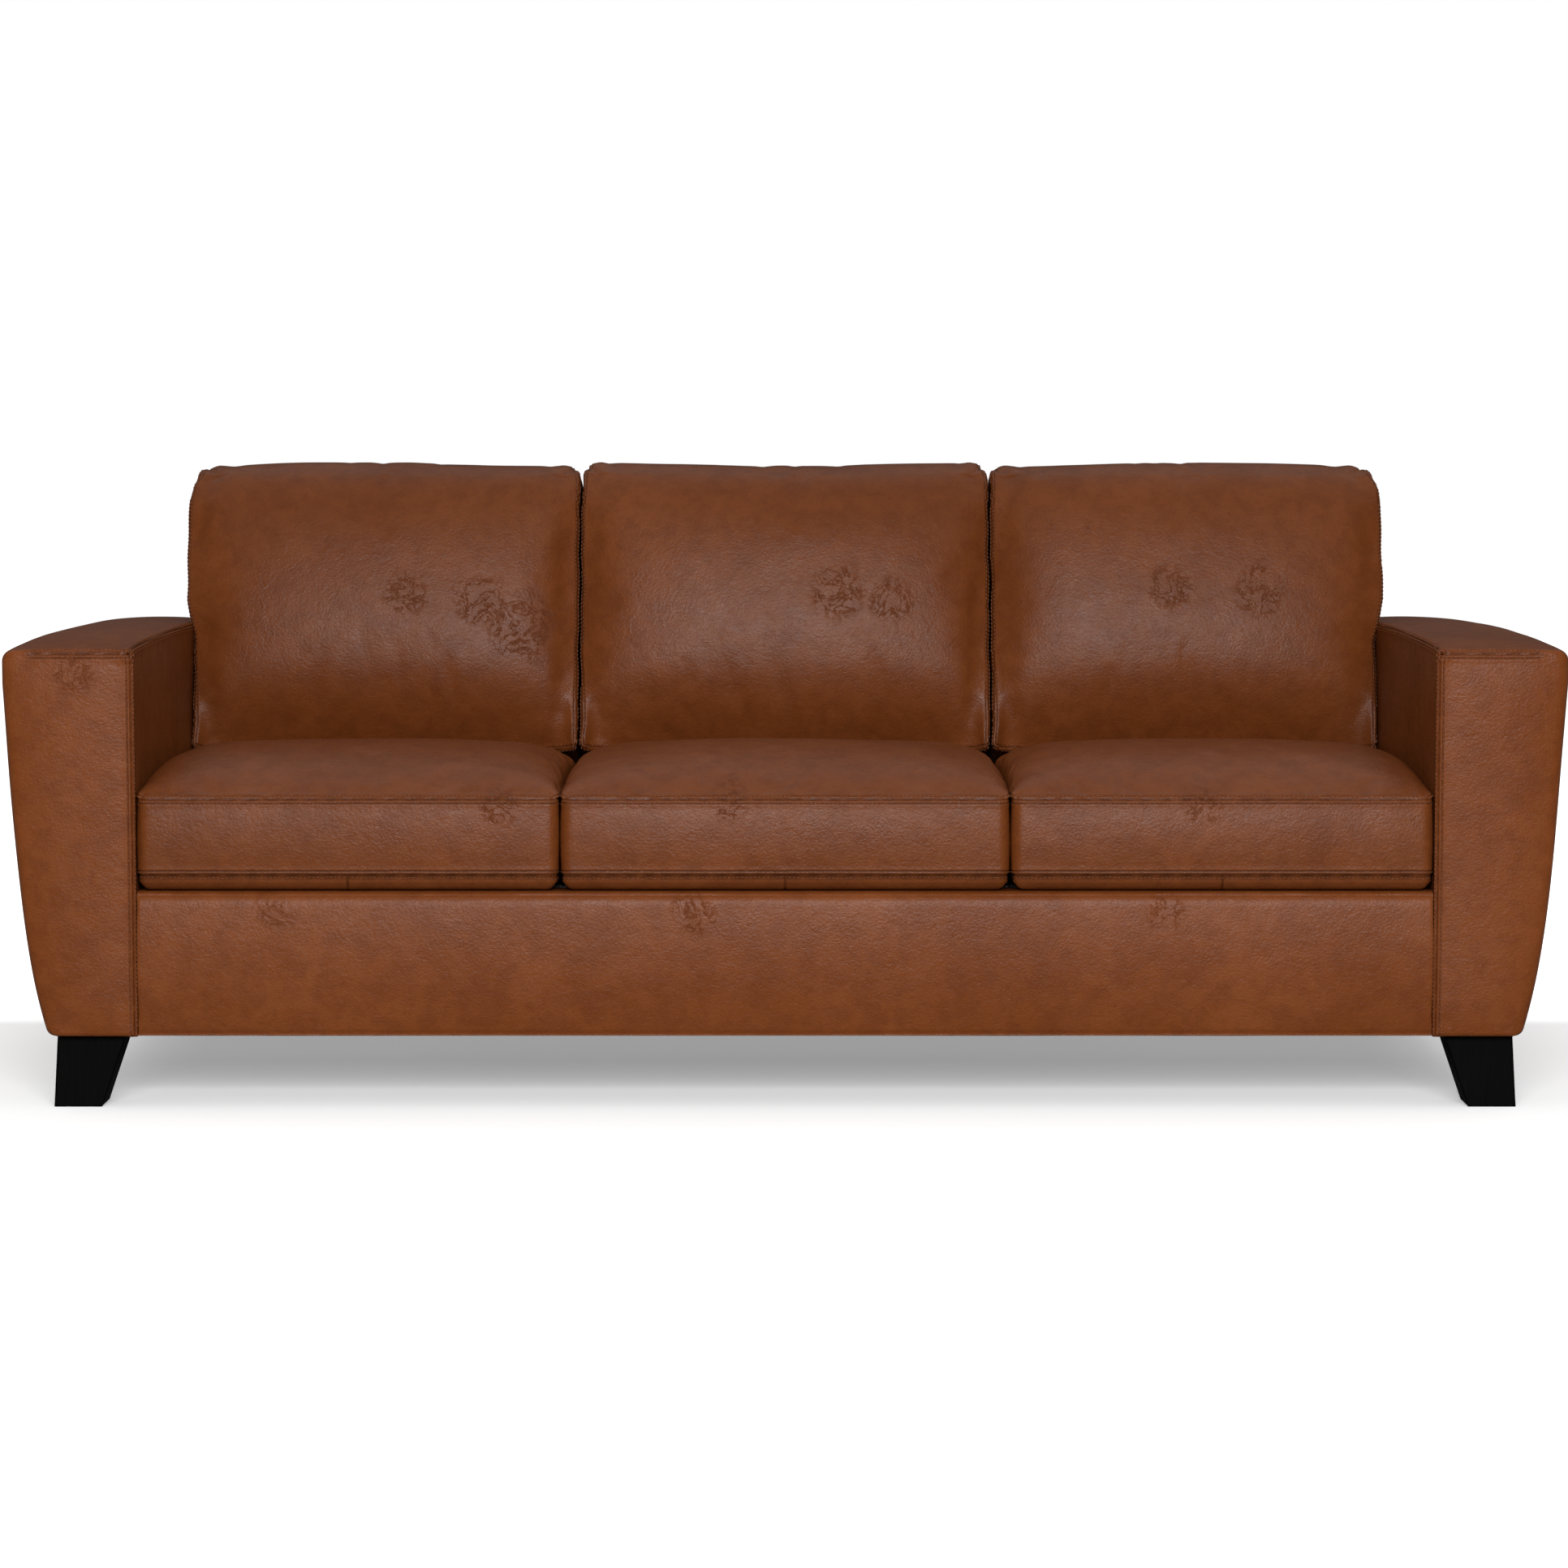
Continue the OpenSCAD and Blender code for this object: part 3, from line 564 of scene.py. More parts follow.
def cloth_folds(name, size, shape, free_faces, keep):
    """Runs the cushion's hide as inflated cloth on a coarse lattice, sewn down everywhere but on its
    free faces. Gives back that lattice and how far each of its points moved."""
    counts = [max(4, int(round(length / SIM_CELL))) + 1 for length in size]
    g = Lattice(*[np.linspace(0, length, n) for length, n in zip(size, counts)])
    verts = shape(g)
    quads = outward(verts, g.quads())
    held = np.ones(len(verts), bool)
    for face in free_faces:
        held[np.unique(g.panels[face])] = False
    for face in set(g.panels) - set(free_faces):
        held[np.unique(g.panels[face])] = True
    mesh = bpy.data.meshes.new(name)
    mesh.from_pydata(verts.tolist(), [], quads.tolist())
    obj = bpy.data.objects.new(name, mesh)
    scene = bpy.context.scene
    scene.collection.objects.link(obj)
    obj.vertex_groups.new(name="sewn").add([int(i) for i in np.flatnonzero(held)], 1.0, "REPLACE")
    cloth_mod = obj.modifiers.new("Cloth", "CLOTH")
    c = cloth_mod.settings
    c.quality = 6
    c.mass = 0.4
    c.tension_stiffness = c.compression_stiffness = 30
    c.shear_stiffness = 12
    c.bending_stiffness = 2.0
    c.vertex_group_mass = "sewn"
    c.shrink_min = c.shrink_max = -SIM_EXCESS
    c.use_pressure = True
    c.uniform_pressure_force = SIM_PRESSURE
    c.effector_weights.gravity = 0
    cloth_mod.point_cache.frame_start, cloth_mod.point_cache.frame_end = 1, 20
    for step in range(1, 21):
        scene.frame_set(step)
    posed = obj.evaluated_get(bpy.context.evaluated_depsgraph_get()).to_mesh()
    moved = np.zeros(len(verts) * 3)
    posed.vertices.foreach_get("co", moved)
    scene.frame_set(1)
    bpy.data.objects.remove(obj)
    bpy.data.meshes.remove(mesh)
    shift = moved.reshape(-1, 3) - verts
    shift[held] = 0
    size_of = np.linalg.norm(shift, axis=1, keepdims=True)
    shift *= np.minimum(1, SIM_CAP / np.maximum(size_of, 1e-9))
    swell = spread_edges(shift, quads, held, 60)
    return g, keep * (shift - (1 - SIM_KEEP_SWELL) * swell)


def add_folds(verts, g, coarse, shift, free_faces):
    """Moves the fine lattice's free faces as the coarse cloth moved."""
    axes = {"top": (0, 1), "bottom": (0, 1), "front": (0, 2), "rear": (0, 2), "left": (1, 2), "right": (1, 2)}
    slices = {"top": np.s_[:, :, -1], "bottom": np.s_[:, :, 0], "front": np.s_[:, 0, :],
              "rear": np.s_[:, -1, :], "left": np.s_[0], "right": np.s_[-1]}
    total = np.zeros_like(verts)
    for face in free_faces:
        i, j = axes[face]
        rows = [cubic_rows(coarse.ids.shape[k], g.lines[k] / g.lines[k][-1]) for k in (i, j)]
        fine = np.einsum("pi,ijk,qj->pqk", rows[0], shift[coarse.ids[slices[face]]], rows[1])
        total[g.ids[slices[face]]] = fine
    return verts + total


def skin(g, x, y, z):
    """Vertices, outward quads and normals of a shaped lattice."""
    verts = np.stack([x, y, z], -1)
    quads = outward(verts, g.quads())
    return verts, quads, normals_of(verts, quads)


def outward(verts, quads):
    """The quads, turned so that their normals point out."""
    p = verts[quads]
    n = np.cross(p[:, 2] - p[:, 0], p[:, 3] - p[:, 1])
    volume = (n * (p.mean(1) - verts.mean(0))).sum()
    return quads if volume > 0 else quads[:, ::-1]


# ---------- seat cushions ----------

SEAT_SEAM_LOW = 22 * MM       # lower seam above the deck
SEAT_SEAM_TOP = 129 * MM      # upper seam above the deck
SEAT_CROWN = 72 * MM          # crown above the upper seam
CROWN_AT = 290 * MM           # where the crown is highest, from the front


def round_corner(x, y, cx, cy, rx, ry):
    """Draws the points of one square corner on to an ellipse; cx, cy is the corner's centre, and the
    signs of rx, ry say which way the corner lies."""
    px, py = (x - cx) / rx, (y - cy) / ry
    inside = (px > 0) & (py > 0)
    size = np.sqrt(px ** 2 + py ** 2)
    pull = np.where(inside & (size > 0), np.maximum(px, py) / np.maximum(size, 1e-9), 1.0)
    return cx + (x - cx) * pull, cy + (y - cy) * pull


def seat_rise(s):
    """Share of the crown at a place from front to rear: a tight roll over the front seam, then a long rise."""
    roll = 0.13 * (1 - np.exp(-s / (7 * MM)))
    front = roll + (1 - roll) * (1 - np.clip((CROWN_AT - s) / CROWN_AT, 0, 1) ** 2.5)
    fall = np.clip(s - CROWN_AT, 0, None) ** 2 / (2 * 1.547)
    rear = np.clip((DECK_BACK_LENGTH - s) / (40 * MM), 0, 1) ** 0.5
    return (front - fall / SEAT_CROWN) * rear


def across_rise(u, s):
    """Share of the crown from side to side: flat in the middle, full right out to the side seams."""
    power = 0.27 - 0.11 * np.clip((s - CROWN_AT) / (220 * MM), 0, 1)
    return np.clip(1 - np.abs(u) ** 4, 0, 1) ** power


def shape_seat(g, width):
    """Deck coordinates of a seat cushion's vertices."""
    u = 2 * g.a / width - 1
    q = g.c / g.lines[2][-1]
    s = g.b.copy()
    top = g.ijk[:, 2] == g.ijk[:, 2].max()
    low = g.ijk[:, 2] == 0
    steep = top * np.clip(np.minimum(g.b, DECK_BACK_LENGTH - g.b) / (70 * MM), 0, 1) ** 0.7
    u = np.sign(u) * (1 - np.clip(1 - np.abs(u), 0, 1) ** (1 + steep * 0.9))
    x = u * width / 2
    t = SEAT_SEAM_LOW + q * (SEAT_SEAM_TOP - SEAT_SEAM_LOW)
    bulge = (4 * q * (1 - q)) ** 0.8
    tight = 2 * MM * (1 - bulge)
    x = x * (1 - tight / (width / 2) * (~top | (g.b < 1 * MM)))
    middle = 1 - np.abs(u) ** 6
    s = s + tight * (1 - 2 * s / DECK_BACK_LENGTH)
    s = s - 3 * MM * bulge * middle * np.clip(1 - g.b / (60 * MM), 0, 1) ** 2
    t = np.where(top, SEAT_SEAM_TOP + SEAT_CROWN * seat_rise(g.b) * across_rise(u, g.b), t)
    edge = np.minimum(np.minimum(g.a, width - g.a), np.minimum(g.b, DECK_BACK_LENGTH - g.b))
    turn = np.sqrt(1 - (1 - np.clip(edge / (20 * MM), 0, 1)) ** 2)
    t = np.where(low, SEAT_SEAM_LOW * (1 - turn) + 0.6 * MM * turn, t)
    r = 17 * MM
    for sx in (-1, 1):
        for cy, ry in ((r, -r), (DECK_BACK_LENGTH - r, r)):
            x, s = round_corner(x, s, sx * (width / 2 - r), cy, sx * r, ry)
    return x, s, t


def seat_cushion(side, seed):
    low, high = SEAT_BOX[side]
    width = high.x - low.x
    middle = (high.x + low.x) / 2
    body = side + "_seat_cushion"
    size = (width, DECK_BACK_LENGTH, SEAT_SEAM_TOP - SEAT_SEAM_LOW)

    def shape(lattice):
        x, s, t = shape_seat(lattice, width)
        return deck_point(middle + x, s, t)

    g = Lattice(close_middle(sewn(size[0], 5.5 * MM)), sewn(size[1], 6 * MM), sewn(size[2], 5.5 * MM))
    verts = shape(g)
    quads = outward(verts, g.quads())
    n = normals_of(verts, quads)
    top = g.ijk[:, 2] == g.ijk[:, 2].max()
    band = ~top & (g.ijk[:, 2] > 0)
    upper, lower = verts[g.rim(-1)].copy(), verts[g.rim(0)].copy()
    coarse, shift = cloth_folds(body + "_cloth", size, shape, ("top",), SIM_KEEP_SEAT)
    verts = add_folds(verts, g, coarse, shift, ("top",))
    near_seam = np.clip(np.minimum(np.minimum(g.a, width - g.a), g.b) / (40 * MM), 0, 1)
    verts += n * (smooth_noise(verts, 0.17, seed) * 1.6 * MM * top * near_seam)[:, None]
    verts += n * (smooth_noise(verts, 0.09, seed + 2) * 0.9 * MM * band)[:, None]
    pucker_seam(verts, n, (upper, True), 2.8 * MM, seed, keep=top)
    pucker_seam(verts, n, (upper, True), 0.8 * MM, seed + 1, reach=16 * MM, keep=band)
    groove_shade = np.zeros(len(verts))
    for line in (upper, lower):
        press_seam(verts, n, (line, True), groove_shade=groove_shade)
    join = strip_join(g, verts)
    press_seam(verts, n, (join, False), depth=1.0 * MM, width=1.5 * MM, roll=0.2 * MM, channel=0, groove_shade=groove_shade)
    obj = new_object(body, verts, quads, HIDE[side], body, "leather", groove_shade=groove_shade)
    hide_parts(side + "_seat_cover", side + "_seat_core")
    rows = [(line, True, offset) for line in (upper, lower) for offset in (-TOPSTITCH, TOPSTITCH)]
    stitch_rows(body + "_stitching", verts, quads, rows, THREAD, body)
    return obj


def close_middle(lines):
    """The lines with close ones about the middle, where the strip is joined."""
    middle = lines[-1] / 2
    close = middle + np.array([-4.4, -2.6, -1.3, 0, 1.3, 2.6, 4.4]) * MM
    return np.sort(np.concatenate([lines[np.abs(lines - middle) > 6.5 * MM], close]))


def strip_join(g, verts):
    """The short seam that joins the lower strip at the middle of the front."""
    i = int(np.argmin(np.abs(g.lines[0] - g.lines[0][-1] / 2)))
    return verts[g.ids[i, :, 0][g.lines[1] < 26 * MM]].copy()


# ---------- back cushions ----------

BACK_FOOT_W = 128 * MM
BACK_H = 460 * MM
BACK_T = 206 * MM             # depth at the front seam, at the foot
BACK_TAPER = 0.11             # how much less deep it is at the top
BACK_TOP_WAVE = 3 * MM        # slow rise and fall of the top edge
BACK_CROWN = 52 * MM
BACK_UNDER = 42 * MM          # how far the middle of the foot seam is drawn back


def back_swell(q):
    """Share of the front's swell at a height: a quick rise over the foot seam, fullest low down."""
    low, high = np.clip(1 - q / 0.55, 0, 1), np.clip((q - 0.55) / 0.45, 0, 1)
    return np.where(q < 0.55, 1 - low ** 2.2, 1 - 0.9 * high ** 2.4)


def shape_back(g, width, side):
    """Rake coordinates of a back cushion's vertices: grid c runs from rear to front, b up."""
    u = 2 * g.a / width - 1
    q = g.b / BACK_H
    depth = g.c / g.lines[2][-1]
    x = g.a - width / 2
    v = 1 * MM + g.c * (1 - BACK_TAPER * q)
    w = BACK_FOOT_W + g.b
    top = BACK_FOOT_W + BACK_H
    front_v = 1 * MM + BACK_T * (1 - BACK_TAPER)
    v, w = round_corner(v, w, front_v - 58 * MM, top - 90 * MM, 58 * MM, 90 * MM)
    v, w = round_corner(v, w, 46 * MM, top - 46 * MM, -45 * MM, 46 * MM)
    swell = np.clip(1 - np.abs(u) ** 3.6, 0, 1) ** 0.62
    height = np.clip((w - BACK_FOOT_W) / BACK_H, 0, 1)
    front = (g.ijk[:, 2] == g.ijk[:, 2].max()) | (g.ijk[:, 1] == g.ijk[:, 1].max())
    v = v + front * BACK_CROWN * swell * back_swell(height) * depth ** 4
    v = v - BACK_UNDER * (1 - np.abs(u) ** 8) * np.clip(1 - q / 0.3, 0, 1) ** 2 * depth ** 4
    over = np.clip((w - (top - 70 * MM)) / (70 * MM), 0, 1)
    w = w + over ** 2 * BACK_TOP_WAVE * np.cos(u * 3.3 + {"left": 0.7, "middle": 3.14, "right": -0.7}[side])
    bulge = 4 * depth * (1 - depth)
    tight = 1.5 * MM * (1 - bulge)
    outer = {"left": u < 0, "middle": np.zeros_like(u, bool), "right": u > 0}[side]
    free = np.clip((q - 0.36) / 0.15, 0, 1) * np.clip((1.01 - q) / 0.16, 0, 1) ** 0.6
    x = x * (1 - tight / (width / 2))
    x = x + np.sign(u) * np.abs(u) ** 3 * outer * free * (4 * MM * bulge + 14 * MM)
    waver = 0.5 + 0.5 * np.sin(w * 61 + u * 3) * np.sin(w * 23 + 1.3 * u)
    x = x - np.sign(u) * np.abs(u) ** 12 * 2.2 * MM * waver
    r = 30 * MM
    for sx in (-1, 1):
        x, w = round_corner(x, w, sx * (width / 2 - r), top - r, sx * r, r)
        x, w = round_corner(x, w, sx * (width / 2 - 12 * MM), BACK_FOOT_W + 12 * MM, sx * 12 * MM, -12 * MM)
    return x, v, w


def back_cushion(side, seed):
    low, high = SEAT_BOX[side]
    width = high.x - low.x
    middle = (high.x + low.x) / 2
    body = side + "_back_cushion"
    size = (width, BACK_H, BACK_T)

    def shape(lattice):
        x, v, w = shape_back(lattice, width, side)
        return rake_point(middle + x, v, w)

    g = Lattice(sewn(size[0], 5.5 * MM), sewn(size[1], 6 * MM), sewn(size[2], 7 * MM))
    verts = shape(g)
    quads = outward(verts, g.quads())
    n = normals_of(verts, quads)
    front = g.ijk[:, 2] == g.ijk[:, 2].max()
    free = front | (g.ijk[:, 1] == g.ijk[:, 1].max())
    ids = g.ids
    half = len(g.lines[2]) // 2
    side_seams = [verts[np.concatenate([ids[k, :, -1], ids[k, -1, -2:half:-1]])].copy() for k in (0, -1)]
    foot_seam = verts[ids[:, 0, -1]].copy()
    faces = ("top", "rear")
    coarse, shift = cloth_folds(body + "_cloth", size, shape, faces, SIM_KEEP_BACK)
    verts = add_folds(verts, g, coarse, shift, faces)
    inner = np.clip(np.minimum(np.minimum(g.a, width - g.a), g.b) / (45 * MM), 0, 1)
    verts += n * (smooth_noise(verts, 0.15, seed + 20) * 2.2 * MM * free * inner)[:, None]
    # the panel sinks beside each side seam, where the filling does not reach into the corner
    for k, line in enumerate(side_seams):
        i, d, at = near_line(verts, (line, False), 70 * MM)
        hollow = np.exp(-((d - 27 * MM) / (15 * MM)) ** 2) * np.clip(line_noise(at, 0.12, seed + k) + 0.45, 0, 1)
        verts[i] -= n[i] * (4.5 * MM * hollow * front[i])[:, None]
    groove_shade = np.zeros(len(verts))
    for k, line in enumerate(side_seams + [foot_seam]):
        pucker_seam(verts, n, (line, False), 2.3 * MM, seed + k, keep=front & (g.b < BACK_H - 60 * MM))
        press_seam(verts, n, (line, False), groove_shade=groove_shade)
    obj = new_object(body, verts, quads, HIDE_BACK[side], body, "leather", groove_shade=groove_shade)
    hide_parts(side + "_back_cover", side + "_back_core")
    rows = [(line, False, o) for line in side_seams + [foot_seam] for o in (-TOPSTITCH, TOPSTITCH)]
    stitch_rows(body + "_stitching", verts, quads, rows, THREAD, body)
    return obj


# ---------- arms ----------

ARM_WIDEST_Z = ARM_TOP - 49 * MM
ARM_CORNER = 18 * MM
SIDE_LEAN = 34 * MM
SIDE_TUCK = 25 * MM
ARM_SOFT = 17 * MM            # roundover of the outer side on to the front and rear
ARM_TIGHT = 4.5 * MM          # radius of the sewn edges
ARM_CROWN = 6 * MM            # rise of the top from side to side
ARM_SWELL = 11 * MM           # rise of the top from end to end
ARM_WIDE = HIGH.x - INSIDE
ARM_FULL = 5 * MM             # how far the hide stands proud of the outer side


def arm_side_x(z):
    """Outer side of an arm at a height, with its rounded top corner."""
    t = np.clip((ARM_WIDEST_Z - z) / (ARM_WIDEST_Z - FOOT_Z), 0, 1)
    x = HIGH.x - SIDE_LEAN * t - SIDE_TUCK * t ** 5
    up = np.clip((z - (ARM_TOP - ARM_CORNER)) / ARM_CORNER, 0, 1)
    return x - ARM_CORNER * (1 - np.sqrt(1 - up ** 2))


def roundover(distance, radius):
    """How far a face is drawn in at a distance from an edge of that radius."""
    near = np.clip(1 - distance / radius, 0, 1)
    return radius * (1 - np.sqrt(1 - near ** 2))


def arm(sign, name):
    g = Lattice(sewn(ARM_WIDE, 8 * MM) / ARM_WIDE, FRONT + sewn(REAR - FRONT, 9 * MM),
                FOOT_Z + sewn(ARM_TOP - FOOT_Z, 8 * MM))
    up = (g.c - FOOT_Z) / (ARM_TOP - FOOT_Z)
    along = np.minimum(g.b - FRONT, REAR - g.b)
    inner = INSIDE + 0.6 * MM + 0.5 * roundover(along, ARM_TIGHT)
    outer = arm_side_x(g.c) + ARM_FULL - roundover(along, ARM_SOFT)
    bottom = roundover(g.c - FOOT_Z, 9 * MM)
    outer = outer - bottom
    x = inner + g.a * (outer - inner)
    tight = roundover(along, ARM_TIGHT)
    ends = np.clip(along / (0.5 * (REAR - FRONT)), 0, 1)
    crown = (ARM_CROWN * np.clip(4 * g.a * (1 - g.a), 0, 1) ** 0.8 * np.clip(ends * 6, 0, 1) ** 0.6
             + ARM_SWELL * np.sin(ends * math.pi / 2) ** 0.55 - 4 * MM)
    z = FOOT_Z + (ARM_TOP - FOOT_Z) * up
    z = z + np.where(up < 0.5, tight * (1 - up), -tight * (2 * up - 1))
    z = z + crown * np.clip((g.c - (ARM_TOP - 120 * MM)) / (120 * MM), 0, 1) ** 2
    x = x + 4 * MM * (g.a == 0) * np.clip(1 - (ARM_TOP - g.c) / (4 * MM), 0, 1) ** 2
    pillow = 5 * MM * (1 - np.abs(2 * g.a - 1) ** 2.5) * (1 - (2 * up - 1) ** 10)
    y = g.b + pillow * ((g.ijk[:, 1] == g.ijk[:, 1].max()) * 1.0 - (g.ijk[:, 1] == 0))
    verts, quads, n = skin(g, sign * x, y, z)
    faces = (g.ijk[:, 0] == g.ijk[:, 0].max()) | (g.ijk[:, 1] == 0) | (g.ijk[:, 2] == g.ijk[:, 2].max())
    verts += n * (smooth_noise(verts, 0.19, 60 + sign) * 1.3 * MM * faces)[:, None]
    ids = g.ids
    across = g.lines[0] < 0.93
    seams = []
    for j in (0, -1):
        seams += [verts[ids[:, j, -1][across]].copy(), verts[ids[0, j, :]].copy()]
    seams.append(verts[ids[0, :, -1]].copy())
    groove_shade = np.zeros(len(verts))
    for k, line in enumerate(seams):
        pucker_seam(verts, n, (line, False), 0.7 * MM, 80 + k, reach=18 * MM)
        press_seam(verts, n, (line, False), depth=2.2 * MM, groove_shade=groove_shade)
    obj = new_object(name + "_arm_upholstery", verts, quads, HIDE_ARM, "frame", "leather", groove_shade=groove_shade)
    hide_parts(name + "_arm_front_cover", name + "_arm_side_cover", name + "_arm_inner_cover",
                name + "_arm_foam", "arm_rear_covers")
    rows = [(line, False, o) for line in seams for o in (-TOPSTITCH, TOPSTITCH)]
    stitch_rows(name + "_arm_stitching", verts, quads, rows, THREAD, "frame")
    return obj


# ---------- front rail, back, underside ----------


def front_rail():
    width = 2 * INSIDE - 1 * MM
    y0, y1 = RAIL_LOW.y, RAIL_HIGH.y
    top = DECK_FRONT_Z - 0.5 * MM
    g = Lattice(graded(width, 1.6 * MM, 12 * MM), y0 + graded(y1 - y0, 1.6 * MM, 6 * MM),
                FOOT_Z + graded(top - FOOT_Z, 1.6 * MM, 7 * MM))
    x, y, z = g.a - width / 2, g.b.copy(), g.c.copy()
    z = z - (y - FRONT) * math.tan(PITCH) * (z - FOOT_Z) / (top - FOOT_Z)
    rise = (g.c - FOOT_Z) / (top - FOOT_Z)
    y = y + (g.b == y0) * (3 * MM - 8 * MM * (1 - (2 * rise - 1.1) ** 2))
    y, z = round_corner(y, z, y0 + 17 * MM, top - 17 * MM, -17 * MM, 17 * MM)
    y, z = round_corner(y, z, y0 + 7 * MM, FOOT_Z + 7 * MM, -7 * MM, -7 * MM)
    for sx in (-1, 1):
        x, y = round_corner(x, y, sx * (width / 2 - 5 * MM), y0 + 5 * MM, sx * 5 * MM, -5 * MM)
    verts, quads, n = skin(g, x, y, z)
    front = g.ijk[:, 1] == 0
    verts += n * (smooth_noise(verts, 0.2, 41) * 1.1 * MM * front)[:, None]
    verts += n * (smooth_noise(verts, 0.05, 42) * 0.35 * MM * front)[:, None]
    obj = new_object("front_rail_upholstery", verts, quads, HIDE_RAIL, "frame", "leather")
    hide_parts("front_rail_cover", "front_rail_foam")


def back_upholstery():
    width = 2 * INSIDE - 1 * MM
    low, high = BACK_LOW.z, BACK_HIGH.z
    g = Lattice(graded(width, 2 * MM, 16 * MM), graded(1.0, 0.012, 0.05), low + graded(high - low, 2 * MM, 9 * MM))
    x, z = g.a - width / 2, g.c.copy()
    front = BACK_FOOT.y + (z - BACK_FOOT.z) * math.tan(RAKE) + 0.3 * MM
    rear = REAR - 3 * MM
    y = front + g.b * (rear - front)
    nose = BACK_FOOT.y + (high - 40 * MM - BACK_FOOT.z) * math.tan(RAKE)
    y, z = round_corner(y, z, nose + 42 * MM, high - 40 * MM, -34 * MM, 40 * MM)
    y, z = round_corner(y, z, rear - 14 * MM, high - 14 * MM, 14 * MM, 14 * MM)
    verts, quads, n = skin(g, x, y, z)
    top = g.ijk[:, 2] == g.ijk[:, 2].max()
    verts += n * (smooth_noise(verts, 0.16, 51) * 1.2 * MM * top)[:, None]
    obj = new_object("back_upholstery", verts, quads, HIDE_RAIL, "frame", "leather")
    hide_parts("inside_back_cover", "back_foam")


def outside_back():
    width = 2 * INSIDE - 0.8 * MM
    low, high = FOOT_Z, BACK_HIGH.z - 15 * MM
    g = Lattice(graded(width, 1.6 * MM, 14 * MM), REAR - 3 * MM + np.linspace(0, 1, 3) * 3 * MM,
                low + graded(high - low, 1.6 * MM, 12 * MM))
    x, y, z = g.a - width / 2, g.b.copy(), g.c.copy()
    rear = g.ijk[:, 1] == g.ijk[:, 1].max()
    edge = np.minimum(np.minimum(g.a, width - g.a), np.minimum(g.c - low, high - g.c))
    y = y + rear * (3.5 * MM * np.clip(edge / (70 * MM), 0, 1) ** 0.6 - roundover(edge, 2.4 * MM))
    verts, quads, n = skin(g, x, y, z)
    verts += n * (smooth_noise(verts, 0.22, 71) * 1.5 * MM * rear * np.clip(edge / (50 * MM), 0, 1))[:, None]
    obj = new_object("outside_back_panel", verts, quads, HIDE_RAIL, "frame", "leather")
    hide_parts("outside_back_cover")
    ids = g.ids
    loop = [verts[ids[:, -1, -1]], verts[ids[0, -1, :]], verts[ids[-1, -1, :]]]
    rows = [(line, False, offset) for line in loop for offset in (-7 * MM, 7 * MM)]
    stitch_rows("outside_back_stitching", verts, quads, rows, THREAD, "frame")


def thin_sheet(name, place, width, length, material, slot_name, thickness, cell=12 * MM):
    """A flat closed sheet of cloth: place(a, b, top) gives its two sides."""
    na, nb = int(width / cell) + 1, int(length / cell) + 1
    g = Lattice(np.linspace(0, width, na), np.linspace(0, length, nb), np.array([0.0, 1.0]))
    verts = place(g.a - width / 2, g.b, g.c, thickness)
    return new_object(name, verts, outward(verts, g.quads()), material, "frame", slot_name)


def deck_and_dust():
    low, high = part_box("deck_cloth")
    s0, s1 = (low.y - FRONT) / math.cos(PITCH), (high.y - FRONT) / math.cos(PITCH)
    width, length = high.x - low.x - 2 * MM, s1 - s0 - 1 * MM

    def deck_place(x, b, c, thick):
        base = deck_point(x, s0 + b, np.zeros_like(x))
        edge = np.clip(np.minimum(np.minimum(b, length - b), width / 2 - np.abs(x)) / (40 * MM), 0, 1)
        sag = -0.9 * MM * (1 + smooth_noise(base, 0.11, 91)) * edge
        return deck_point(x, s0 + b, -0.2 * MM + sag - thick * (1 - c))

    deck = thin_sheet("deck_cloth_sheet", deck_place, width, length, DECK, "deck_cloth", 0.8 * MM)
    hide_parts("deck_cloth")
    low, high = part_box("dust_cover")
    width2, length2 = high.x - low.x, high.y - low.y

    def dust_place(x, b, c, thick):
        p = np.stack([x, low.y + b, np.full_like(x, low.z + 0.3 * MM)], -1)
        p[:, 2] += 0.25 * MM * smooth_noise(p, 0.08, 95) + thick * c
        return p

    dust = thin_sheet("dust_cover_sheet", dust_place, width2, length2, DUST, "dust_cloth", 0.5 * MM, 16 * MM)
    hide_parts("dust_cover")


# ---------- legs and zips ----------


def block(out_v, out_f, centre, axes, size):
    """Adds one box, given by its centre, three directions and three lengths."""
    base = len(out_v)
    for i in (-0.5, 0.5):
        for j in (-0.5, 0.5):
            for k in (-0.5, 0.5):
                p = centre + axes[0] * (i * size[0]) + axes[1] * (j * size[1]) + axes[2] * (k * size[2])
                out_v.append(tuple(p))
    for quad in ((0, 1, 3, 2), (4, 6, 7, 5), (0, 4, 5, 1), (2, 3, 7, 6), (0, 2, 6, 4), (1, 5, 7, 3)):
        out_f.append(tuple(base + k for k in quad))


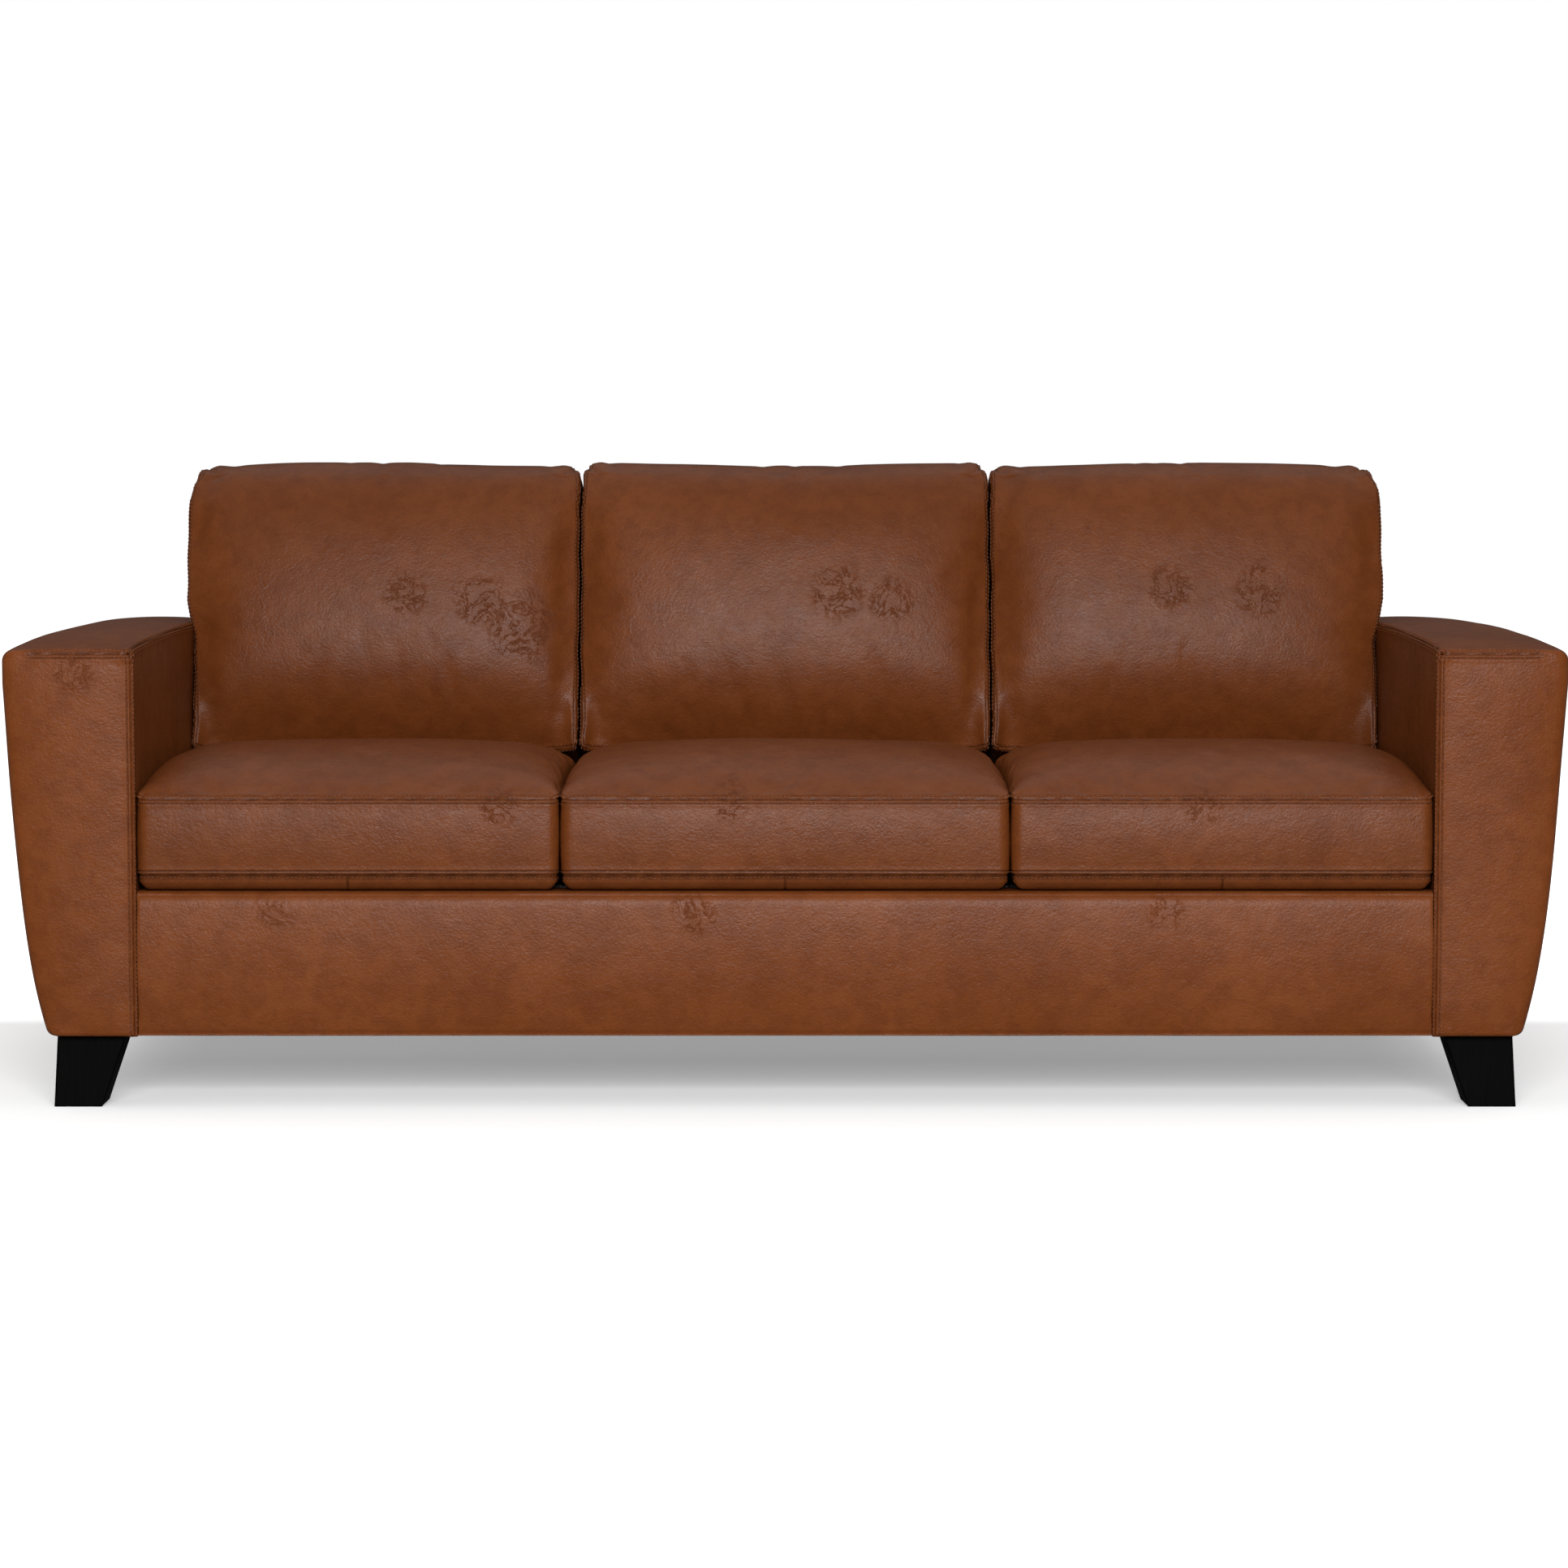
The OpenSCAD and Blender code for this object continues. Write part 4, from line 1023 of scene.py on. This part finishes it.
def leg(node):
    """Tapered foot with eased edges, after the node's own corners."""
    source = frame["nodes"][node]
    pts = np.array([v.co for v in source.data.vertices])
    low, high = pts.min(0), pts.max(0)
    top = pts[pts[:, 2] > high[2] - 1 * MM]
    foot = pts[pts[:, 2] < low[2] + 1 * MM]
    ends = [(foot[:, 0].min(), foot[:, 0].max(), low[2]), (top[:, 0].min(), top[:, 0].max(), high[2])]
    steps = graded(high[2] - low[2], 1.5 * MM, 9 * MM)
    g = Lattice(graded(1.0, 0.02, 0.14), low[1] + graded(high[1] - low[1], 1.2 * MM, 8 * MM), low[2] + steps)
    up = (g.c - low[2]) / (high[2] - low[2])
    left = ends[0][0] + (ends[1][0] - ends[0][0]) * up
    right = ends[0][1] + (ends[1][1] - ends[0][1]) * up
    x = left + g.a * (right - left)
    y, z = g.b.copy(), g.c.copy()
    r = 2.5 * MM
    for ry, cy in ((-r, low[1] + r), (r, high[1] - r)):
        for sx, edge in ((-r, left), (r, right)):
            x, y = round_corner(x, y, edge - sx, cy, sx, ry)
    lift = roundover(np.minimum.reduce([x - left, right - x, y - low[1], high[1] - y]), 1.5 * MM)
    z = np.where(g.ijk[:, 2] == 0, z + np.minimum(lift, 1.4 * MM), z)
    verts = np.stack([x, y, z], -1)
    obj = new_object(node + "_shaped", verts, outward(verts, g.quads()), BLACK_WOOD, "frame", "leg_wood")
    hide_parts(node)


def zip_fastener(node, body, normal):
    """Coil zip on its tape: two rows of teeth and a slider with its puller."""
    low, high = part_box(node)
    centre = (low + high) / 2
    along = Vector((1, 0, 0))
    out = Vector(normal)
    up = out.cross(along).normalized()
    tape_v, tape_f, metal_v, metal_f = [], [], [], []
    block(tape_v, tape_f, centre, (along, up, out), (high.x - low.x, 22 * MM, 0.9 * MM))
    count = int((high.x - low.x - 16 * MM) / (2.4 * MM))
    for k in range(count):
        side = 1 if k % 2 else -1
        p = centre + along * ((k - count / 2) * 2.4 * MM) + up * (side * 1.1 * MM) + out * (0.9 * MM)
        block(metal_v, metal_f, p, (along, up, out), (1.5 * MM, 4.2 * MM, 1.3 * MM))
    slider = centre + along * ((high.x - low.x) / 2 - 14 * MM) + out * (1.2 * MM)
    block(metal_v, metal_f, slider, (along, up, out), (11 * MM, 8 * MM, 2.6 * MM))
    puller = slider - along * (12 * MM) + out * (0.8 * MM)
    block(metal_v, metal_f, puller, (along, up, out), (20 * MM, 5 * MM, 0.9 * MM))
    new_object(node + "_tape", np.array(tape_v), np.array(tape_f), DECK, body, "zip", False)
    teeth = new_object(node + "_teeth", np.array(metal_v), np.array(metal_f), BRASS, body, "zip", False)
    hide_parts(node)


front_rail()
back_upholstery()
outside_back()
deck_and_dust()
for k, side in enumerate(SIDES):
    seat_cushion(side, 3 + 5 * k)
    back_cushion(side, 31 + 5 * k)
    zip_fastener(side + "_seat_zip", side + "_seat_cushion", (0, math.cos(PITCH), -math.sin(PITCH)))
    zip_fastener(side + "_back_zip", side + "_back_cushion", (0, math.cos(RAKE), -math.sin(RAKE)))
arm(1, "right")
arm(-1, "left")
for node in ("front_left_leg", "front_right_leg", "rear_left_leg", "rear_right_leg"):
    leg(node)

# ---------- better materials on the CAD nodes that stay ----------

NODE_MATERIALS = {
    "leg_plates": STEEL, "hanger_bolts": STEEL, "seat_springs": STEEL, "spring_clips": STEEL,
    "spring_tie_wires": STEEL, "leg_blocks": PINE[1], "front_rail": PINE[0], "rear_rail": PINE[0],
    "end_rails": PINE[1], "seat_stretchers": PINE[1], "arm_top_boards": PINE[1], "back_posts": PINE[2],
    "back_top_rail": PINE[0], "back_lower_rail": PINE[0], "arm_front_formers": PLY, "arm_rear_formers": PLY,
    "left_arm_inner_board": PLY, "right_arm_inner_board": PLY, "arm_outer_panels": FIBRE,
    "back_webbing": WEBBING, "deck_pad": FOAM,
}
for node, material in NODE_MATERIALS.items():
    mesh = frame["nodes"][node].data
    mesh.materials.clear()
    mesh.materials.append(material)

# ---------- stage, lights, camera ----------

CAMERA_DISTANCE = 5.84
CAMERA_HEIGHT = 0.936
CAMERA_TILT = math.radians(4.664)
SENSOR = 36.0
LENS = 96.15
WORLD_LIGHT = 0.09
KEY_POWER = 555
SUN_STRENGTH = 1.15
REAR_POWER = 30
SIDE_POWER = 10
FLOOR_GLOW = 0.285
FLOOR_BOUNCE = 0.22


def stage_floor():
    g = 14.0
    mesh = bpy.data.meshes.new("floor")
    mesh.from_pydata([(-g, -g, 0), (g, -g, 0), (g, g, 0), (-g, g, 0)], [], [(0, 1, 2, 3)])
    m = Nodes("floor_white")
    seen = m.add("ShaderNodeLightPath").outputs["Is Camera Ray"]
    along = m.add("ShaderNodeSeparateXYZ")
    m.link(m.add("ShaderNodeTexCoord").outputs["Object"], along.inputs[0])
    behind = m.ramp(along.outputs["Y"], REAR - 0.1, REAR + 0.1, FLOOR_GLOW, 1.0)
    away = m.add("ShaderNodeVectorMath", operation="LENGTH")
    m.link(m.add("ShaderNodeTexCoord").outputs["Object"], away.inputs[0])
    glow = m.math("MAXIMUM", behind, m.ramp(away.outputs["Value"], 2.0, 3.2, FLOOR_GLOW, 1.0))
    speckle = m.noise(3.0, 2, 0.5)
    pale = m.mix(speckle, (0.93, 0.93, 0.93, 1), (0.95, 0.95, 0.95, 1))
    m.set(Base_Color=m.mix(seen, (FLOOR_BOUNCE, FLOOR_BOUNCE, FLOOR_BOUNCE, 1), pale), Roughness=0.9,
          Specular_IOR_Level=0.1, Emission_Color=(1, 1, 1, 1), Emission_Strength=m.math("MULTIPLY", seen, glow))
    mesh.materials.append(m.material)
    floor = bpy.data.objects.new("floor", mesh)
    bpy.context.scene.collection.objects.link(floor)


def area_light(name, place, target, size, power):
    data = bpy.data.lights.new(name, "AREA")
    data.shape = "RECTANGLE"
    data.size, data.size_y = size
    data.energy = power
    lamp = bpy.data.objects.new(name, data)
    lamp.location = place
    lamp.visible_camera = False
    lamp.rotation_euler = (Vector(target) - Vector(place)).to_track_quat("-Z", "Y").to_euler()
    bpy.context.scene.collection.objects.link(lamp)
    return lamp


def studio():
    world = bpy.data.worlds.new("studio")
    world.use_nodes = True
    tree = world.node_tree
    back = tree.nodes["Background"]
    seen = tree.nodes.new("ShaderNodeLightPath")
    level = tree.nodes.new("ShaderNodeMapRange")
    level.inputs["To Min"].default_value = WORLD_LIGHT
    level.inputs["To Max"].default_value = 1.0
    tree.links.new(seen.outputs["Is Camera Ray"], level.inputs["Value"])
    tree.links.new(level.outputs["Result"], back.inputs["Strength"])
    back.inputs["Color"].default_value = (1, 1, 1, 1)
    bpy.context.scene.world = world
    area_light("key", (0.15, FRONT - 6.6, 2.70), (0, FRONT, 0.50), (4.2, 2.2), KEY_POWER)
    sky = bpy.data.lights.new("overhead", "SUN")
    sky.energy = SUN_STRENGTH
    sky.angle = math.radians(110)
    lamp = bpy.data.objects.new("overhead", sky)
    bpy.context.scene.collection.objects.link(lamp)
    fill = [area_light("rear", (0, REAR + 2.7, 0.46), (0, REAR, 0.46), (1.9, 0.7), REAR_POWER)]
    for side in (-1, 1):
        fill.append(area_light("beside", (side * 3.4, 0, 0.42), (side, 0, 0.42), (1.2, 0.5), SIDE_POWER))
    for lamp in fill:
        lamp.visible_glossy = False
    stage_floor()
    data = bpy.data.cameras.new("camera")
    data.sensor_width = SENSOR
    data.lens = LENS
    camera = bpy.data.objects.new("camera", data)
    camera.location = (-0.0015, FRONT - CAMERA_DISTANCE, CAMERA_HEIGHT)
    camera.rotation_euler = (math.pi / 2 - CAMERA_TILT, 0, 0)
    bpy.context.scene.collection.objects.link(camera)
    bpy.context.scene.camera = camera
    bpy.context.scene.view_settings.view_transform = "Standard"


studio()
